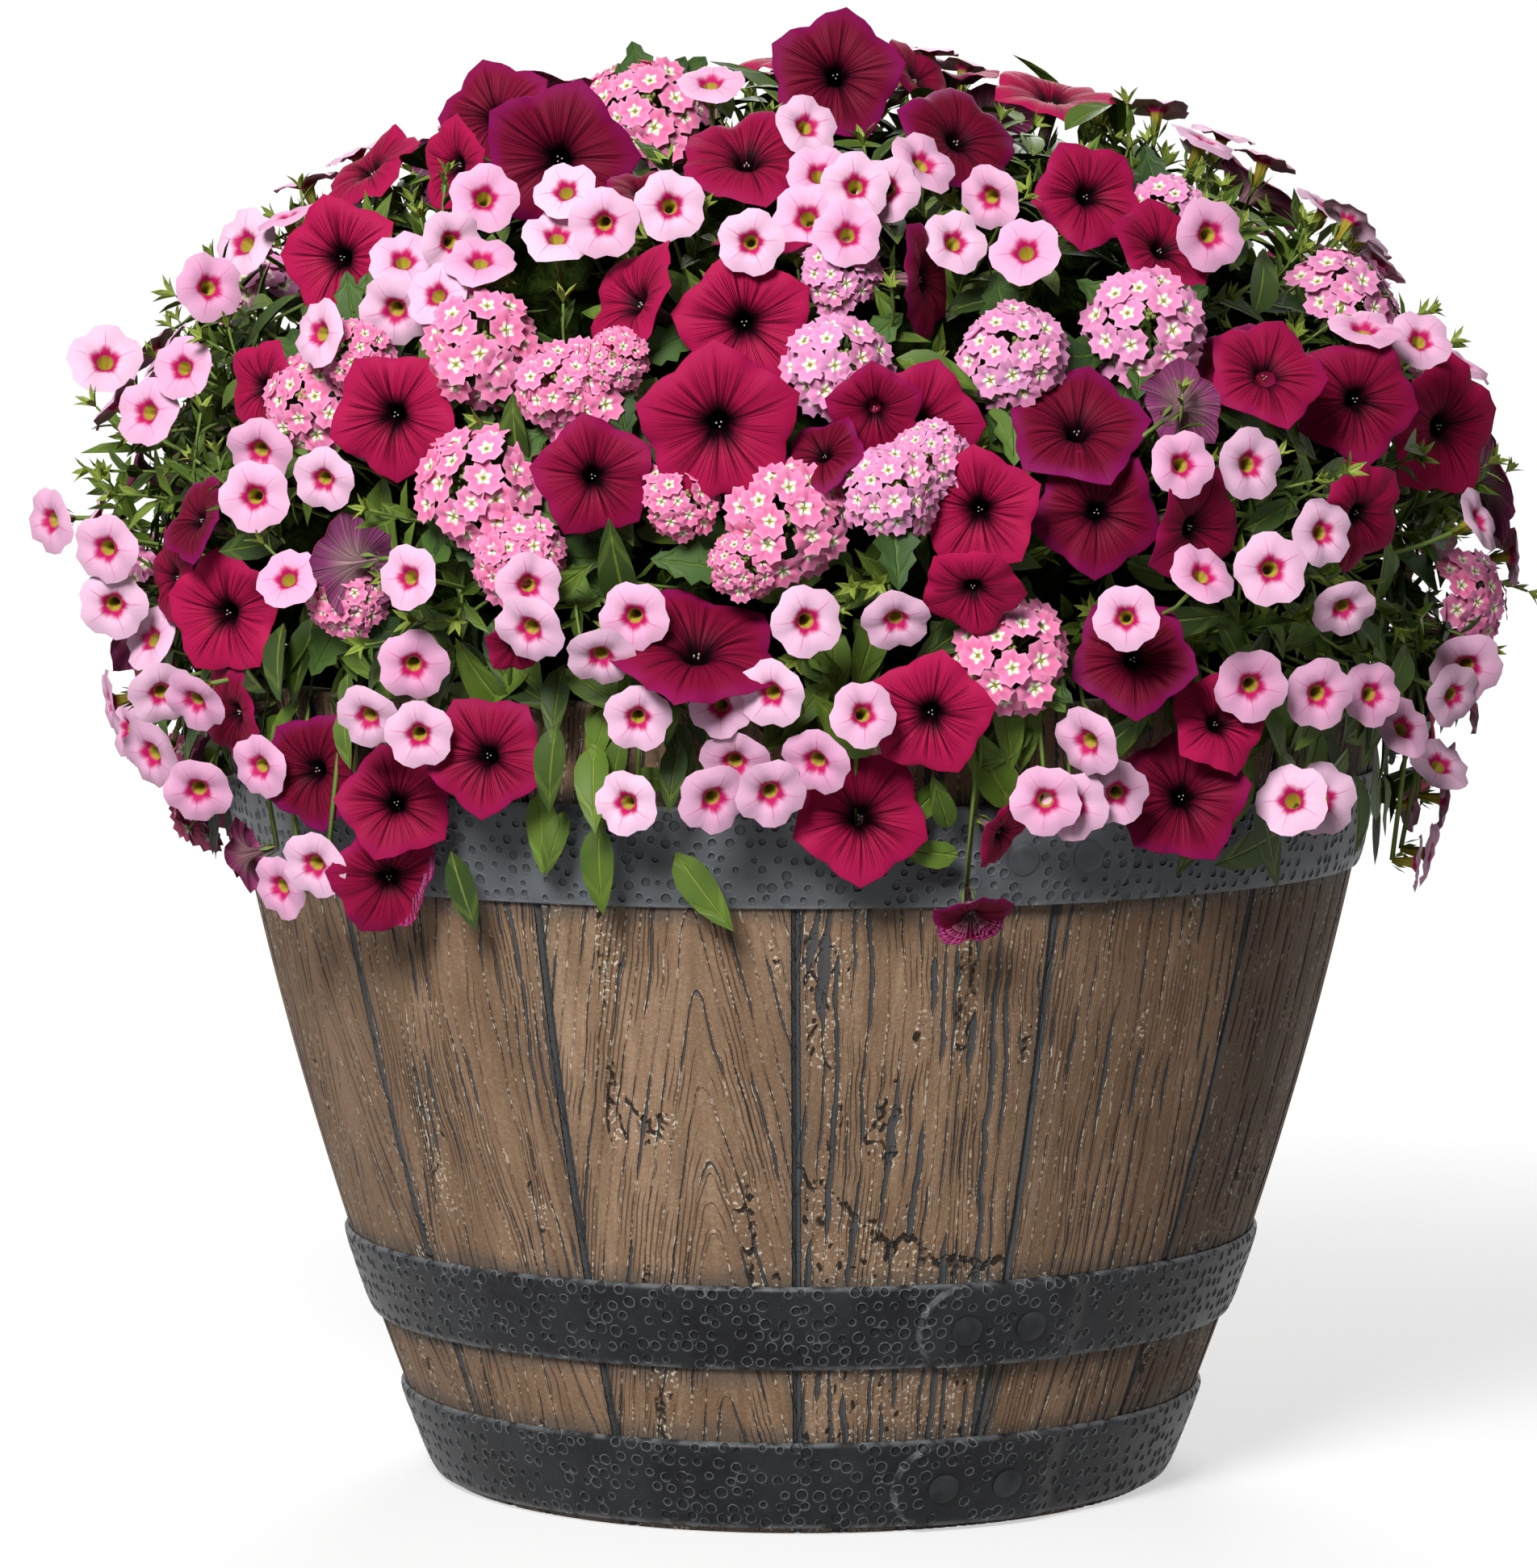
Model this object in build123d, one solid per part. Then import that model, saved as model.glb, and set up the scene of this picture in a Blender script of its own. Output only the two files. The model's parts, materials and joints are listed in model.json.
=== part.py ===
from build123d import *
import os
from math import asin, atan2, cos, degrees, hypot, radians, sin, sqrt

# Half-barrel planter: fourteen bent staves held by three riveted hoops, a head of five
# doweled boards in a groove near the floor, a fill of potting mix, and a mound of flowers.
#
# Millimetres, +Z up. The origin is on the floor, on the barrel's own axis.
# An azimuth is an angle about that axis: 0 faces -Y, the front, and it grows towards +X.

# Barrel
HEIGHT = 356.0
RIM_RADIUS = 260.0
BASE_RADIUS = 160.0
BELLY = 10.6  # how far a stave bows out from the straight line between its ends
STAVE_COUNT = 14
STAVE_THICKNESS = 18.0
STAVE_GAP = 0.1  # between two staves at the floor
FIRST_JOINT_AZIMUTH = -0.5
ARRIS_CHAMFER = 1.8  # on the two long outer edges of a stave
CHIME_CHAMFER = 1.5  # on a stave's two ends

# Head
HEAD_UNDERSIDE = 30.0
HEAD_THICKNESS = 18.0
HEAD_BOARD_COUNT = 5
HEAD_BOARD_GAP = 0.2
HEAD_CLEARANCE = 0.5  # between the head's rim and the staves
TONGUE_THICKNESS = 7.6
CROZE_DEPTH = 5.0  # of the groove that holds the tongue
CROZE_CLEARANCE = 0.2  # above the tongue, and below it
DOWEL_DIAMETER = 8.0
DOWEL_LENGTH = 40.0
DOWEL_CLEARANCE = 0.1  # between a dowel and the wall of its hole
DOWEL_OFFSET = 60.0  # along a board, from its middle
DRAIN_DIAMETER = 13.0
DRAIN_OFFSET = 70.0  # along a board, from its middle

# Hoops
HOOP_THICKNESS = 2.8
HOOP_CLEARANCE = 0.2  # between a hoop and the staves
HOOP_EDGE_ROUND = 1.2
TOP_HOOP_WIDTH = 41.6
TOP_HOOP_BELOW_RIM = 41.4
MIDDLE_HOOP_WIDTH = 36.5
MIDDLE_HOOP_LOW = 75.0
BOTTOM_HOOP_WIDTH = 38.8
BOTTOM_HOOP_LOW = 3.0

# Laps: the strap's loose end lies over its other end and is riveted down through it
LAP_GAP = 0.3  # between the two layers
LAP_ROUND_FACTOR = 1.1  # radius of the loose end, as a share of half the hoop's width
LAP_UNDER_END = 13.0  # how far the end below reaches past the second rivet
JOGGLE_START = 16.0  # where the strap starts to step down to the staves, past that rivet
JOGGLE_LENGTH = 14.0
JOGGLE_SECTIONS = 7
RIVET_SPACING = 29.0
RIVET_HEAD_DIAMETER = 13.5
RIVET_HEAD_HEIGHT = 2.2
RIVET_HEAD_EDGE = 0.7  # height of the head's upright edge
RIVET_SHANK_DIAMETER = 6.0
RIVET_CLEARANCE = 0.1  # between a shank and the wall of its hole
TOP_RIVET_AZIMUTH = 27.4  # of the rivet nearest the strap's loose end
MIDDLE_RIVET_AZIMUTH = 20.1
BOTTOM_RIVET_AZIMUTH = 20.1

# Planting
SOFT_CLEARANCE = 0.3  # round the potting mix, and between flower clumps
SOIL_BELOW_RIM = 30.0
CLUMP_COUNT = 8
MOUND_RISE = 280.0  # of the flowers above the rim
MOUND_OVERHANG = 60.0  # of the flowers past the rim, at their widest
MOUND_WIDEST = 54.0  # height of that place above the rim
MOUND_RIM_CLEARANCE = 4.0  # between the flowers and the rim
SKIRT_DROP = 56.0  # how far the flowers hang below the rim
SKIRT_TUCK = 30.0  # how much narrower they are at the bottom than at their widest

# The arc of a stave's outer face, in a plane through the barrel's axis
SLANT = hypot(RIM_RADIUS - BASE_RADIUS, HEIGHT)
ARC_RADIUS = (SLANT**2 / 4 + BELLY**2) / (2 * BELLY)
ARC_REACH = ARC_RADIUS - BELLY
ARC_R = (RIM_RADIUS + BASE_RADIUS) / 2 - ARC_REACH * HEIGHT / SLANT
ARC_Z = HEIGHT / 2 + ARC_REACH * (RIM_RADIUS - BASE_RADIUS) / SLANT

HEAD_TOP = HEAD_UNDERSIDE + HEAD_THICKNESS
CROZE_Z = HEAD_UNDERSIDE + HEAD_THICKNESS / 2
CROZE_HALF_HEIGHT = TONGUE_THICKNESS / 2 + CROZE_CLEARANCE
SOIL_TOP = HEIGHT - SOIL_BELOW_RIM
BOARD_WIDTH_MARGIN = 1.0  # a cutting box passes its piece by this much


def face_radius(z, depth=0.0):
    """Distance from the barrel's axis to the staves, at a height and a depth in the wood."""
    return ARC_R + sqrt((ARC_RADIUS - depth) ** 2 - (z - ARC_Z) ** 2)


def arc_angle(z, depth=0.0):
    """Angle, seen from the arc's centre, of a height on the staves' face."""
    return asin((z - ARC_Z) / (ARC_RADIUS - depth))


def arc_point(angle, depth=0.0):
    """Point (radius, height) at an angle on the staves' arc."""
    reach = ARC_RADIUS - depth
    return (ARC_R + reach * cos(angle), ARC_Z + reach * sin(angle))


def arc_between(low, high, depth=0.0):
    """Arc at a depth in the wood from one angle to another."""
    points = [arc_point(angle, depth) for angle in (low, (low + high) / 2, high)]
    return ThreePointArc(*points)


def turned(azimuth, shape):
    """Shape drawn at the +X side, turned to an azimuth."""
    return Rot(0, 0, azimuth - 90) * shape


def radial_face(*lines):
    """Closed outline drawn as (radius, height), stood up in the plane of the axis."""
    return Plane.XZ * make_face(Curve() + list(lines))


CROZE_RADIUS = face_radius(CROZE_Z, STAVE_THICKNESS) + CROZE_DEPTH
HEAD_RADIUS = CROZE_RADIUS - HEAD_CLEARANCE


def stave_profile():
    """Section of a stave: two arcs, the groove for the head, and a chamfer at each end."""
    outer = arc_between(arc_angle(0), arc_angle(HEIGHT))
    depth = STAVE_THICKNESS
    low = CROZE_Z - CROZE_HALF_HEIGHT
    high = CROZE_Z + CROZE_HALF_HEIGHT
    below = arc_between(arc_angle(0, depth), arc_angle(low, depth), depth)
    above = arc_between(arc_angle(high, depth), arc_angle(HEIGHT, depth), depth)
    groove = Polyline(below @ 1, (CROZE_RADIUS, low), (CROZE_RADIUS, high), above @ 0)
    floor_end = Line(outer @ 0, below @ 0)
    rim_end = Line(outer @ 1, above @ 1)
    face = make_face(Curve() + [outer, floor_end, below, groove, above, rim_end])
    ends = face.vertices().group_by(Axis.Y)
    face = chamfer(ends[0] + ends[-1], CHIME_CHAMFER)
    return Plane.XZ * face


def stave(number):
    """One stave, from one radial joint to the next, its outer long edges chamfered."""
    pitch = 360 / STAVE_COUNT
    play = degrees(STAVE_GAP / BASE_RADIUS)
    solid = revolve(stave_profile(), Axis.Z, pitch - play)
    long_edges = solid.edges().filter_by(lambda edge: edge.length > HEIGHT - 2 * CHIME_CHAMFER)
    solid = chamfer(long_edges, ARRIS_CHAMFER)
    return turned(FIRST_JOINT_AZIMUTH + number * pitch + play / 2, solid)


def head_disc():
    """The head in one piece: a disc whose rim is bevelled on both sides to a tongue."""
    inside = [face_radius(z, STAVE_THICKNESS) - HEAD_CLEARANCE for z in (
        HEAD_UNDERSIDE, CROZE_Z - CROZE_HALF_HEIGHT, CROZE_Z + CROZE_HALF_HEIGHT, HEAD_TOP)]
    tongue_low = CROZE_Z - TONGUE_THICKNESS / 2
    tongue_high = CROZE_Z + TONGUE_THICKNESS / 2
    outline = Polyline(
        (0, HEAD_UNDERSIDE), (inside[0], HEAD_UNDERSIDE), (inside[1], tongue_low),
        (HEAD_RADIUS, tongue_low), (HEAD_RADIUS, tongue_high), (inside[2], tongue_high),
        (min(inside[3], HEAD_RADIUS), HEAD_TOP), (0, HEAD_TOP), close=True)
    return revolve(radial_face(outline), Axis.Z)


BOARD_PITCH = 2 * HEAD_RADIUS / HEAD_BOARD_COUNT


def joint_lines():
    """Places across the head where two boards meet."""
    return [-HEAD_RADIUS + number * BOARD_PITCH for number in range(1, HEAD_BOARD_COUNT)]


def dowel_places():
    """Middle of each dowel, two on each joint."""
    return [Pos(side * DOWEL_OFFSET, y, CROZE_Z) for y in joint_lines() for side in (-1, 1)]


def drain_places():
    """One drain hole in the middle board and two in each board beside the outer ones."""
    corners = [(x, y) for x in (-DRAIN_OFFSET, DRAIN_OFFSET) for y in (-BOARD_PITCH, BOARD_PITCH)]
    return [Pos(x, y, CROZE_Z) for x, y in [(0, 0)] + corners]


def lying(radius, length):
    """Round bar along Y, about its middle."""
    return Rot(90, 0, 0) * Cylinder(radius, length)


def head_board(number):
    """One board of the head, with its dowel holes and drain holes."""
    span = 2 * HEAD_RADIUS + BOARD_WIDTH_MARGIN
    middle = -HEAD_RADIUS + (number + 0.5) * BOARD_PITCH
    width = BOARD_PITCH - HEAD_BOARD_GAP
    board = head_disc() & Pos(0, middle, CROZE_Z) * Box(span, width, span)
    hole = lying(DOWEL_DIAMETER / 2 + DOWEL_CLEARANCE, DOWEL_LENGTH + 2 * DOWEL_CLEARANCE)
    drain = Cylinder(DRAIN_DIAMETER / 2, 2 * HEAD_THICKNESS)
    for place in dowel_places():
        board = board - place * hole
    for place in drain_places():
        board = board - place * drain
    return board


def head_dowels():
    """Pins that line the boards up, each half in one board and half in the next."""
    pin = chamfer(lying(DOWEL_DIAMETER / 2, DOWEL_LENGTH).edges(), DOWEL_DIAMETER / 10)
    return [place * pin for place in dowel_places()]


class Hoop:
    """Strap bent into a ring whose ends lap, drawn with the loose end's rivet at +X."""

    def __init__(self, low, width, rivet_azimuth, side):
        self.rivet_azimuth = rivet_azimuth
        self.side = side  # of the loose end, beyond that rivet: 1 towards +X, -1 towards -X
        self.width = width
        self.low_angle = arc_angle(low)
        self.high_angle = arc_angle(low + width)
        self.middle_angle = (self.low_angle + self.high_angle) / 2
        self.radius = arc_point(self.middle_angle)[0]

    def degrees_of(self, length):
        """Angle that a length along the strap takes up."""
        return degrees(length / self.radius)

    def square_profile(self, lift=0.0):
        """Section of the strap with square edges, lifted off the staves by a height."""
        near = -HOOP_CLEARANCE - lift
        inner = arc_between(self.low_angle, self.high_angle, near)
        outer = arc_between(self.low_angle, self.high_angle, near - HOOP_THICKNESS)
        ends = [Line(inner @ 0, outer @ 0), Line(inner @ 1, outer @ 1)]
        return make_face(Curve() + [inner, outer] + ends)

    def profile(self, lift=0.0):
        """The same section with its two outer edges rounded."""
        face = self.square_profile(lift)
        corners = face.vertices().sort_by(lambda v: hypot(v.X - ARC_R, v.Y - ARC_Z))[-2:]
        return Plane.XZ * fillet(corners, HOOP_EDGE_ROUND)

    def height_above_staves(self, point):
        """How far a point lies outside the staves' outer face."""
        return hypot(hypot(point.X, point.Y) - ARC_R, point.Z - ARC_Z) - ARC_RADIUS

    def surface(self, angle, lift):
        """Plane on the strap's arc, facing out, its x direction along the strap."""
        r, z = arc_point(self.middle_angle, -lift)
        turn = radians(angle)
        out = Vector(cos(self.middle_angle) * cos(turn), cos(self.middle_angle) * sin(turn),
                     sin(self.middle_angle))
        along = Vector(-sin(turn), cos(turn), 0)
        return Plane(origin=(r * cos(turn), r * sin(turn), z), x_dir=along, z_dir=out)

    def section(self, angle, share):
        """Strap section in the step, where share runs from 1, lapped, to 0, on the staves."""
        smooth = share * share * (3 - 2 * share)
        return Rot(0, 0, angle) * self.profile(smooth * (HOOP_THICKNESS + LAP_GAP))

    def lap(self, step_start):
        """The loose end above the other end: round, and rounded along its outer edge."""
        lift = HOOP_THICKNESS + LAP_GAP
        tip = -self.degrees_of(self.width)
        profile = Plane.XZ * self.square_profile(lift)
        layer = Rot(0, 0, tip) * revolve(profile, Axis.Z, step_start - tip)
        rivet_seat = self.surface(0, lift)
        reach = 2 * self.width
        beyond = rivet_seat * Pos(-self.width, 0, 0) * Box(reach, reach, reach)
        round_end = rivet_seat * Cylinder(LAP_ROUND_FACTOR * self.width / 2, reach)
        layer = layer - (beyond - round_end)
        outer = layer.faces().sort_by(lambda face: self.height_above_staves(face.center()))[-1]
        step_edge = outer.edges().sort_by(lambda edge: atan2(edge.center().Y, edge.center().X))[-1]
        return fillet([edge for edge in outer.edges() if edge != step_edge], HOOP_EDGE_ROUND)

    def strap(self):
        """The strap: loose end, step down, and the run round the staves to the end below."""
        step_start = self.degrees_of(RIVET_SPACING + JOGGLE_START)
        step_end = step_start + self.degrees_of(JOGGLE_LENGTH)
        under_end = self.degrees_of(RIVET_SPACING + LAP_UNDER_END)
        shares = [1 - number / (JOGGLE_SECTIONS - 1) for number in range(JOGGLE_SECTIONS)]
        sections = [self.section(step_end - share * (step_end - step_start), share) for share in shares]
        step = loft(sections, ruled=True)
        run = Rot(0, 0, step_end) * revolve(self.profile(), Axis.Z, 360 - step_end + under_end)
        return self.lap(step_start) + step + run

    def rivet_planes(self):
        """Where the two rivet heads sit on the lap."""
        lift = HOOP_CLEARANCE + 2 * HOOP_THICKNESS + LAP_GAP
        return [self.surface(angle, lift) for angle in (0, self.degrees_of(RIVET_SPACING))]

    def placed(self, shape):
        """Shape turned to the hoop's own azimuth, and mirrored for a loose end towards +X."""
        if self.side > 0:
            shape = mirror(shape, Plane.XZ)
        return turned(self.rivet_azimuth, shape)

    def band(self):
        """The strap with its rivet holes."""
        hole = Cylinder(RIVET_SHANK_DIAMETER / 2 + RIVET_CLEARANCE, 8 * HOOP_THICKNESS)
        strap = self.strap()
        for plane in self.rivet_planes():
            strap = strap - plane * hole
        return self.placed(strap)

    def rivets(self):
        """Two rivets, flush with the strap's inner face."""
        length = 2 * HOOP_THICKNESS + LAP_GAP
        return [self.placed(plane * rivet(length)) for plane in self.rivet_planes()]


def rivet(length):
    """Rivet with a low domed head on its local XY plane and its shank below."""
    half = RIVET_HEAD_DIAMETER / 2
    shank = RIVET_SHANK_DIAMETER / 2
    dome = TangentArc((0, RIVET_HEAD_HEIGHT), (half, RIVET_HEAD_EDGE), tangent=(1, 0))
    sides = Polyline((half, RIVET_HEAD_EDGE), (half, 0), (shank, 0), (shank, -length), (0, -length),
                     (0, RIVET_HEAD_HEIGHT))
    return revolve(radial_face(dome, sides), Axis.Z)


def potting_soil():
    """Fill of potting mix, from the head to just below the rim."""
    depth = STAVE_THICKNESS + SOFT_CLEARANCE
    low = HEAD_TOP + SOFT_CLEARANCE
    wall = arc_between(arc_angle(low, depth), arc_angle(SOIL_TOP, depth), depth)
    rest = Polyline(wall @ 1, (0, SOIL_TOP), (0, low), wall @ 0)
    return revolve(radial_face(wall, rest), Axis.Z)


def flower_clump(number):
    """One slice of the mound: domed, clear of the rim that it spills over."""
    widest = RIM_RADIUS + MOUND_OVERHANG
    widest_z = HEIGHT + MOUND_WIDEST
    skirt_z = HEIGHT - SKIRT_DROP
    seat = SOIL_TOP + SOFT_CLEARANCE
    inside = face_radius(SOIL_TOP, STAVE_THICKNESS) - MOUND_RIM_CLEARANCE
    outside = RIM_RADIUS + MOUND_RIM_CLEARANCE
    over_rim = HEIGHT + MOUND_RIM_CLEARANCE
    top = HEIGHT + MOUND_RISE
    dome = EllipticalCenterArc((0, widest_z), widest, top - widest_z, 0, arc_size=90)
    flank = TangentArc((widest, widest_z), (widest - SKIRT_TUCK, skirt_z), tangent=(0, -1))
    underside = Polyline((widest - SKIRT_TUCK, skirt_z), (outside, skirt_z), (outside, over_rim),
                         (inside, over_rim), (inside, seat), (0, seat), (0, top))
    pitch = 360 / CLUMP_COUNT
    slice_ = revolve(radial_face(dome, flank, underside), Axis.Z, pitch)
    apart = SOFT_CLEARANCE / 2 / sin(radians(pitch / 2))
    slice_ = Rot(0, 0, pitch / 2) * Pos(apart, 0, 0) * Rot(0, 0, -pitch / 2) * slice_
    return turned(number * pitch, slice_)


HOOPS = {
    "top_hoop": Hoop(HEIGHT - TOP_HOOP_BELOW_RIM - TOP_HOOP_WIDTH, TOP_HOOP_WIDTH, TOP_RIVET_AZIMUTH, 1),
    "middle_hoop": Hoop(MIDDLE_HOOP_LOW, MIDDLE_HOOP_WIDTH, MIDDLE_RIVET_AZIMUTH, -1),
    "bottom_hoop": Hoop(BOTTOM_HOOP_LOW, BOTTOM_HOOP_WIDTH, BOTTOM_RIVET_AZIMUTH, -1),
}


def group(shapes):
    """Several separate solids as one shape."""
    return Compound(children=[solid for shape in shapes for solid in shape.solids()])


def nodes():
    """Every node's name and shape."""
    for number in range(STAVE_COUNT):
        yield f"stave_{number + 1:02d}", stave(number)
    for number in range(HEAD_BOARD_COUNT):
        yield f"head_board_{number + 1}", head_board(number)
    yield "head_dowels", group(head_dowels())
    for name, hoop in HOOPS.items():
        yield name, hoop.band()
        yield f"{name}_rivets", group(hoop.rivets())
    yield "potting_soil", potting_soil()
    for number in range(CLUMP_COUNT):
        yield f"flower_clump_{number + 1}", flower_clump(number)


os.makedirs("parts", exist_ok=True)
for name, shape in nodes():
    export_step(shape, f"parts/{name}.step")
    print(f"{name}: {shape.volume / 1000:.1f} cm3, {len(shape.solids())} solids")
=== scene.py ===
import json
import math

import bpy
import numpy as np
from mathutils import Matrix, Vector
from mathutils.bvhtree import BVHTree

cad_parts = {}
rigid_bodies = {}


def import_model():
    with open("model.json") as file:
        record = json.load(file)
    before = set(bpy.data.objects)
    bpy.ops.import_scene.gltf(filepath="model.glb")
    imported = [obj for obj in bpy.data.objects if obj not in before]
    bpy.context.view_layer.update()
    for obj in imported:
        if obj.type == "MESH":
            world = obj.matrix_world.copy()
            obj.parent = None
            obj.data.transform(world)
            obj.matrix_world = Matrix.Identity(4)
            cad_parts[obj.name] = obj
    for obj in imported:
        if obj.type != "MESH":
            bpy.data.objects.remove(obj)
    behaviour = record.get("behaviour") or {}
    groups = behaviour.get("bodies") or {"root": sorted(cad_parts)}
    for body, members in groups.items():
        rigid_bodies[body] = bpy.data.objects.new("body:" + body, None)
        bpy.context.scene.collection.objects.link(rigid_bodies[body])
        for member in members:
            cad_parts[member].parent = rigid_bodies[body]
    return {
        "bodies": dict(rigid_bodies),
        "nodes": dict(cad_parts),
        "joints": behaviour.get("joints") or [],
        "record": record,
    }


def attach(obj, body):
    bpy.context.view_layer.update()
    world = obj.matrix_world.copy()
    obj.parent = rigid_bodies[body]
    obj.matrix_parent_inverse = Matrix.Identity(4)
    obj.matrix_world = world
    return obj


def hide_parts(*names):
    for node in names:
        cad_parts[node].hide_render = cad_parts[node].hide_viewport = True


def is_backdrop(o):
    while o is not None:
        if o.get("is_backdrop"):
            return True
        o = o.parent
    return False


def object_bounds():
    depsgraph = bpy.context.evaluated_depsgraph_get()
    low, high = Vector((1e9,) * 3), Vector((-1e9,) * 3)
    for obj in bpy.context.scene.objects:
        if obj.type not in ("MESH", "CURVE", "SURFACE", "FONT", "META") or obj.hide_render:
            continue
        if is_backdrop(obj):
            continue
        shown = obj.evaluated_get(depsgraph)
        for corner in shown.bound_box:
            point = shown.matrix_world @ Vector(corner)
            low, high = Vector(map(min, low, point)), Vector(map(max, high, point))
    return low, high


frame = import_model()

# %% [markdown]
# A half barrel planted with petunias, calibrachoas and verbenas.
# The barrel's staves, hoops, rivets and head come in as CAD nodes, at their real size in metres.
# This file gives them their finishes, carves the staves' weathered grain, stamps the dents of
# the hoops and grows the plants.
# The barrel's axis is Z, and its front faces -Y. An azimuth of 0 is the front, and grows to +X.

cad_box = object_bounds()
nodes = frame["nodes"]
FULL_TURN = 2 * math.pi
MM = 0.001
print("CAD nodes:", len(nodes), "box:", [list(corner) for corner in cad_box])

# %% [markdown]
# The camera stands low in front of the barrel and looks slightly down, through a long lens.
# Its place was worked out from the hoops: a ring's ellipse in the picture gives the tilt.
# The same numbers turn a place in the picture into a line of sight, which later puts each
# blossom where it is seen.

# %% Camera
PICTURE_WIDTH = 1904
PICTURE_HEIGHT = 1942
AXIS_COLUMN = 992.14
FOCAL_PIXELS = 7688
EYE = np.array([0.0, -2.745, 0.5136])
LOOK_DOWN = math.radians(4.348)
SENSOR_MM = 36

camera_data = bpy.data.cameras.new("camera")
camera = bpy.data.objects.new("camera", camera_data)
bpy.context.scene.collection.objects.link(camera)
camera.location = EYE
camera.rotation_euler = (math.radians(90) - LOOK_DOWN, 0, 0)
camera_data.sensor_fit = "HORIZONTAL"
camera_data.sensor_width = SENSOR_MM
camera_data.lens = SENSOR_MM * FOCAL_PIXELS / PICTURE_WIDTH
camera_data.shift_x = (PICTURE_WIDTH / 2 - AXIS_COLUMN) / PICTURE_WIDTH
camera_data.clip_end = 100
bpy.context.scene.camera = camera
bpy.context.scene.view_settings.view_transform = "Standard"
print("lens", round(camera_data.lens, 1), "mm")


# %% [markdown]
# Materials are networks of nodes, but they read better as sums. The class below wraps one
# output of a node, so that `1 - mask` or `tone * 0.2` adds the Math node for it. Its one
# method `node` makes every other kind: settings first, then the values or links of its sockets.

# %% A class for shader maths
class Value:
    """One output socket in a material's node tree."""

    def __init__(self, tree, socket=None):
        self.tree = tree
        self.socket = socket

    def node(self, kind, settings=None, inputs=None, output=0):
        """Add a node and return one of its outputs."""
        made = self.tree.nodes.new(kind)
        for key, setting in (settings or {}).items():
            setattr(made, key, setting)
        for key, entry in (inputs or {}).items():
            socket = made.inputs[key]
            if isinstance(entry, Value):
                self.tree.links.new(entry.socket, socket)
            elif socket.type == "RGBA":
                socket.default_value = (*entry, 1)
            else:
                socket.default_value = entry
        return Value(self.tree, made.outputs[output])

    def math(self, operation, *others, clamp=False):
        """Math node on this value and others."""
        entries = dict(enumerate((self, *others)))
        return self.node("ShaderNodeMath", {"operation": operation, "use_clamp": clamp}, entries)

    def __add__(self, other):
        return self.math("ADD", other)

    __radd__ = __add__

    def __mul__(self, other):
        return self.math("MULTIPLY", other)

    __rmul__ = __mul__

    def __sub__(self, other):
        return self.math("SUBTRACT", other)

    def __rsub__(self, other):
        return (self * -1).math("ADD", other)

    def __truediv__(self, other):
        return self.math("DIVIDE", other)

    def clamped(self):
        """This value, held between 0 and 1."""
        return self.math("ADD", 0.0, clamp=True)

    def rise(self, low, high):
        """Mask that goes smoothly from 0 at low to 1 at high; low may be the larger."""
        limits = {"Value": self, "From Min": low, "From Max": high}
        return self.node("ShaderNodeMapRange", {"interpolation_type": "SMOOTHSTEP"}, limits)

    def mix(self, zero, one):
        """Colour that goes from one to the other as this value goes from 0 to 1."""
        return self.node("ShaderNodeMix", {"data_type": "RGBA"}, {0: self, 6: zero, 7: one}, 2)

    def axis(self, number):
        """One axis of this vector: 0, 1 or 2 for X, Y or Z."""
        return self.node("ShaderNodeSeparateXYZ", None, {0: self}, number)

    def vector(self, operation, inputs, output=0):
        """Vector Math on this vector; the inputs are those after the first."""
        entries = {0: self, **inputs}
        return self.node("ShaderNodeVectorMath", {"operation": operation}, entries, output)

    def moved_by(self, other, amount):
        """This vector plus so much of another."""
        return self.vector("ADD", {1: other.vector("SCALE", {"Scale": amount})})

    def stretched(self, scale):
        """This vector with its X, Y and Z scaled."""
        return self.node("ShaderNodeMapping", None, {"Vector": self, "Scale": scale})

    def noise(self, scale, detail=2.0, roughness=0.5, stretch=None, output=0):
        """Noise read at this vector; stretch scales its X, Y and Z first."""
        place = self.stretched(stretch) if stretch else self
        entries = {"Vector": place, "Scale": scale, "Detail": detail, "Roughness": roughness}
        return self.node("ShaderNodeTexNoise", None, entries, output)

    def attribute(self, name):
        """Number kept on the piece's points under a name."""
        return self.node("ShaderNodeAttribute", {"attribute_name": name}, None, "Fac")

    def bump(self, distance, strength=1.0):
        """Normal from this height, in metres when multiplied by the distance."""
        entries = {"Height": self, "Distance": distance, "Strength": strength}
        return self.node("ShaderNodeBump", None, entries)


def finish(name, recipe, **constants):
    """Material whose Principled shader is fed by a recipe, and by constants on its sockets."""
    material = bpy.data.materials.new(name)
    material.use_nodes = True
    tree = material.node_tree
    shader = tree.nodes["Principled BSDF"]
    for key, constant in constants.items():
        socket = shader.inputs[key.replace("_", " ").title().replace("Ior", "IOR")]
        socket.default_value = constant
    for key, entry in recipe(Value(tree)).items():
        tree.links.new(entry.socket, shader.inputs[key])
    return material


def light_rays(start):
    """Mask of the rays that see the studio as white; diffuse rays see it dimmed."""
    kinds = ("Is Camera Ray", "Is Glossy Ray", "Is Transmission Ray")
    camera, glossy, through = (start.node("ShaderNodeLightPath", None, None, kind)
                               for kind in kinds)
    return (camera + glossy + through).clamped()


def thin_line(value, width):
    """Mask that is 1 where a value crosses one half."""
    return (value - 0.5).math("ABSOLUTE").rise(width, 0.0)


def object_place(start):
    """The point on the piece, in metres, and its X, Y and Z."""
    place = start.node("ShaderNodeTexCoord", None, None, "Object")
    return place, [place.axis(number) for number in range(3)]


print("shader maths ready")

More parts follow.
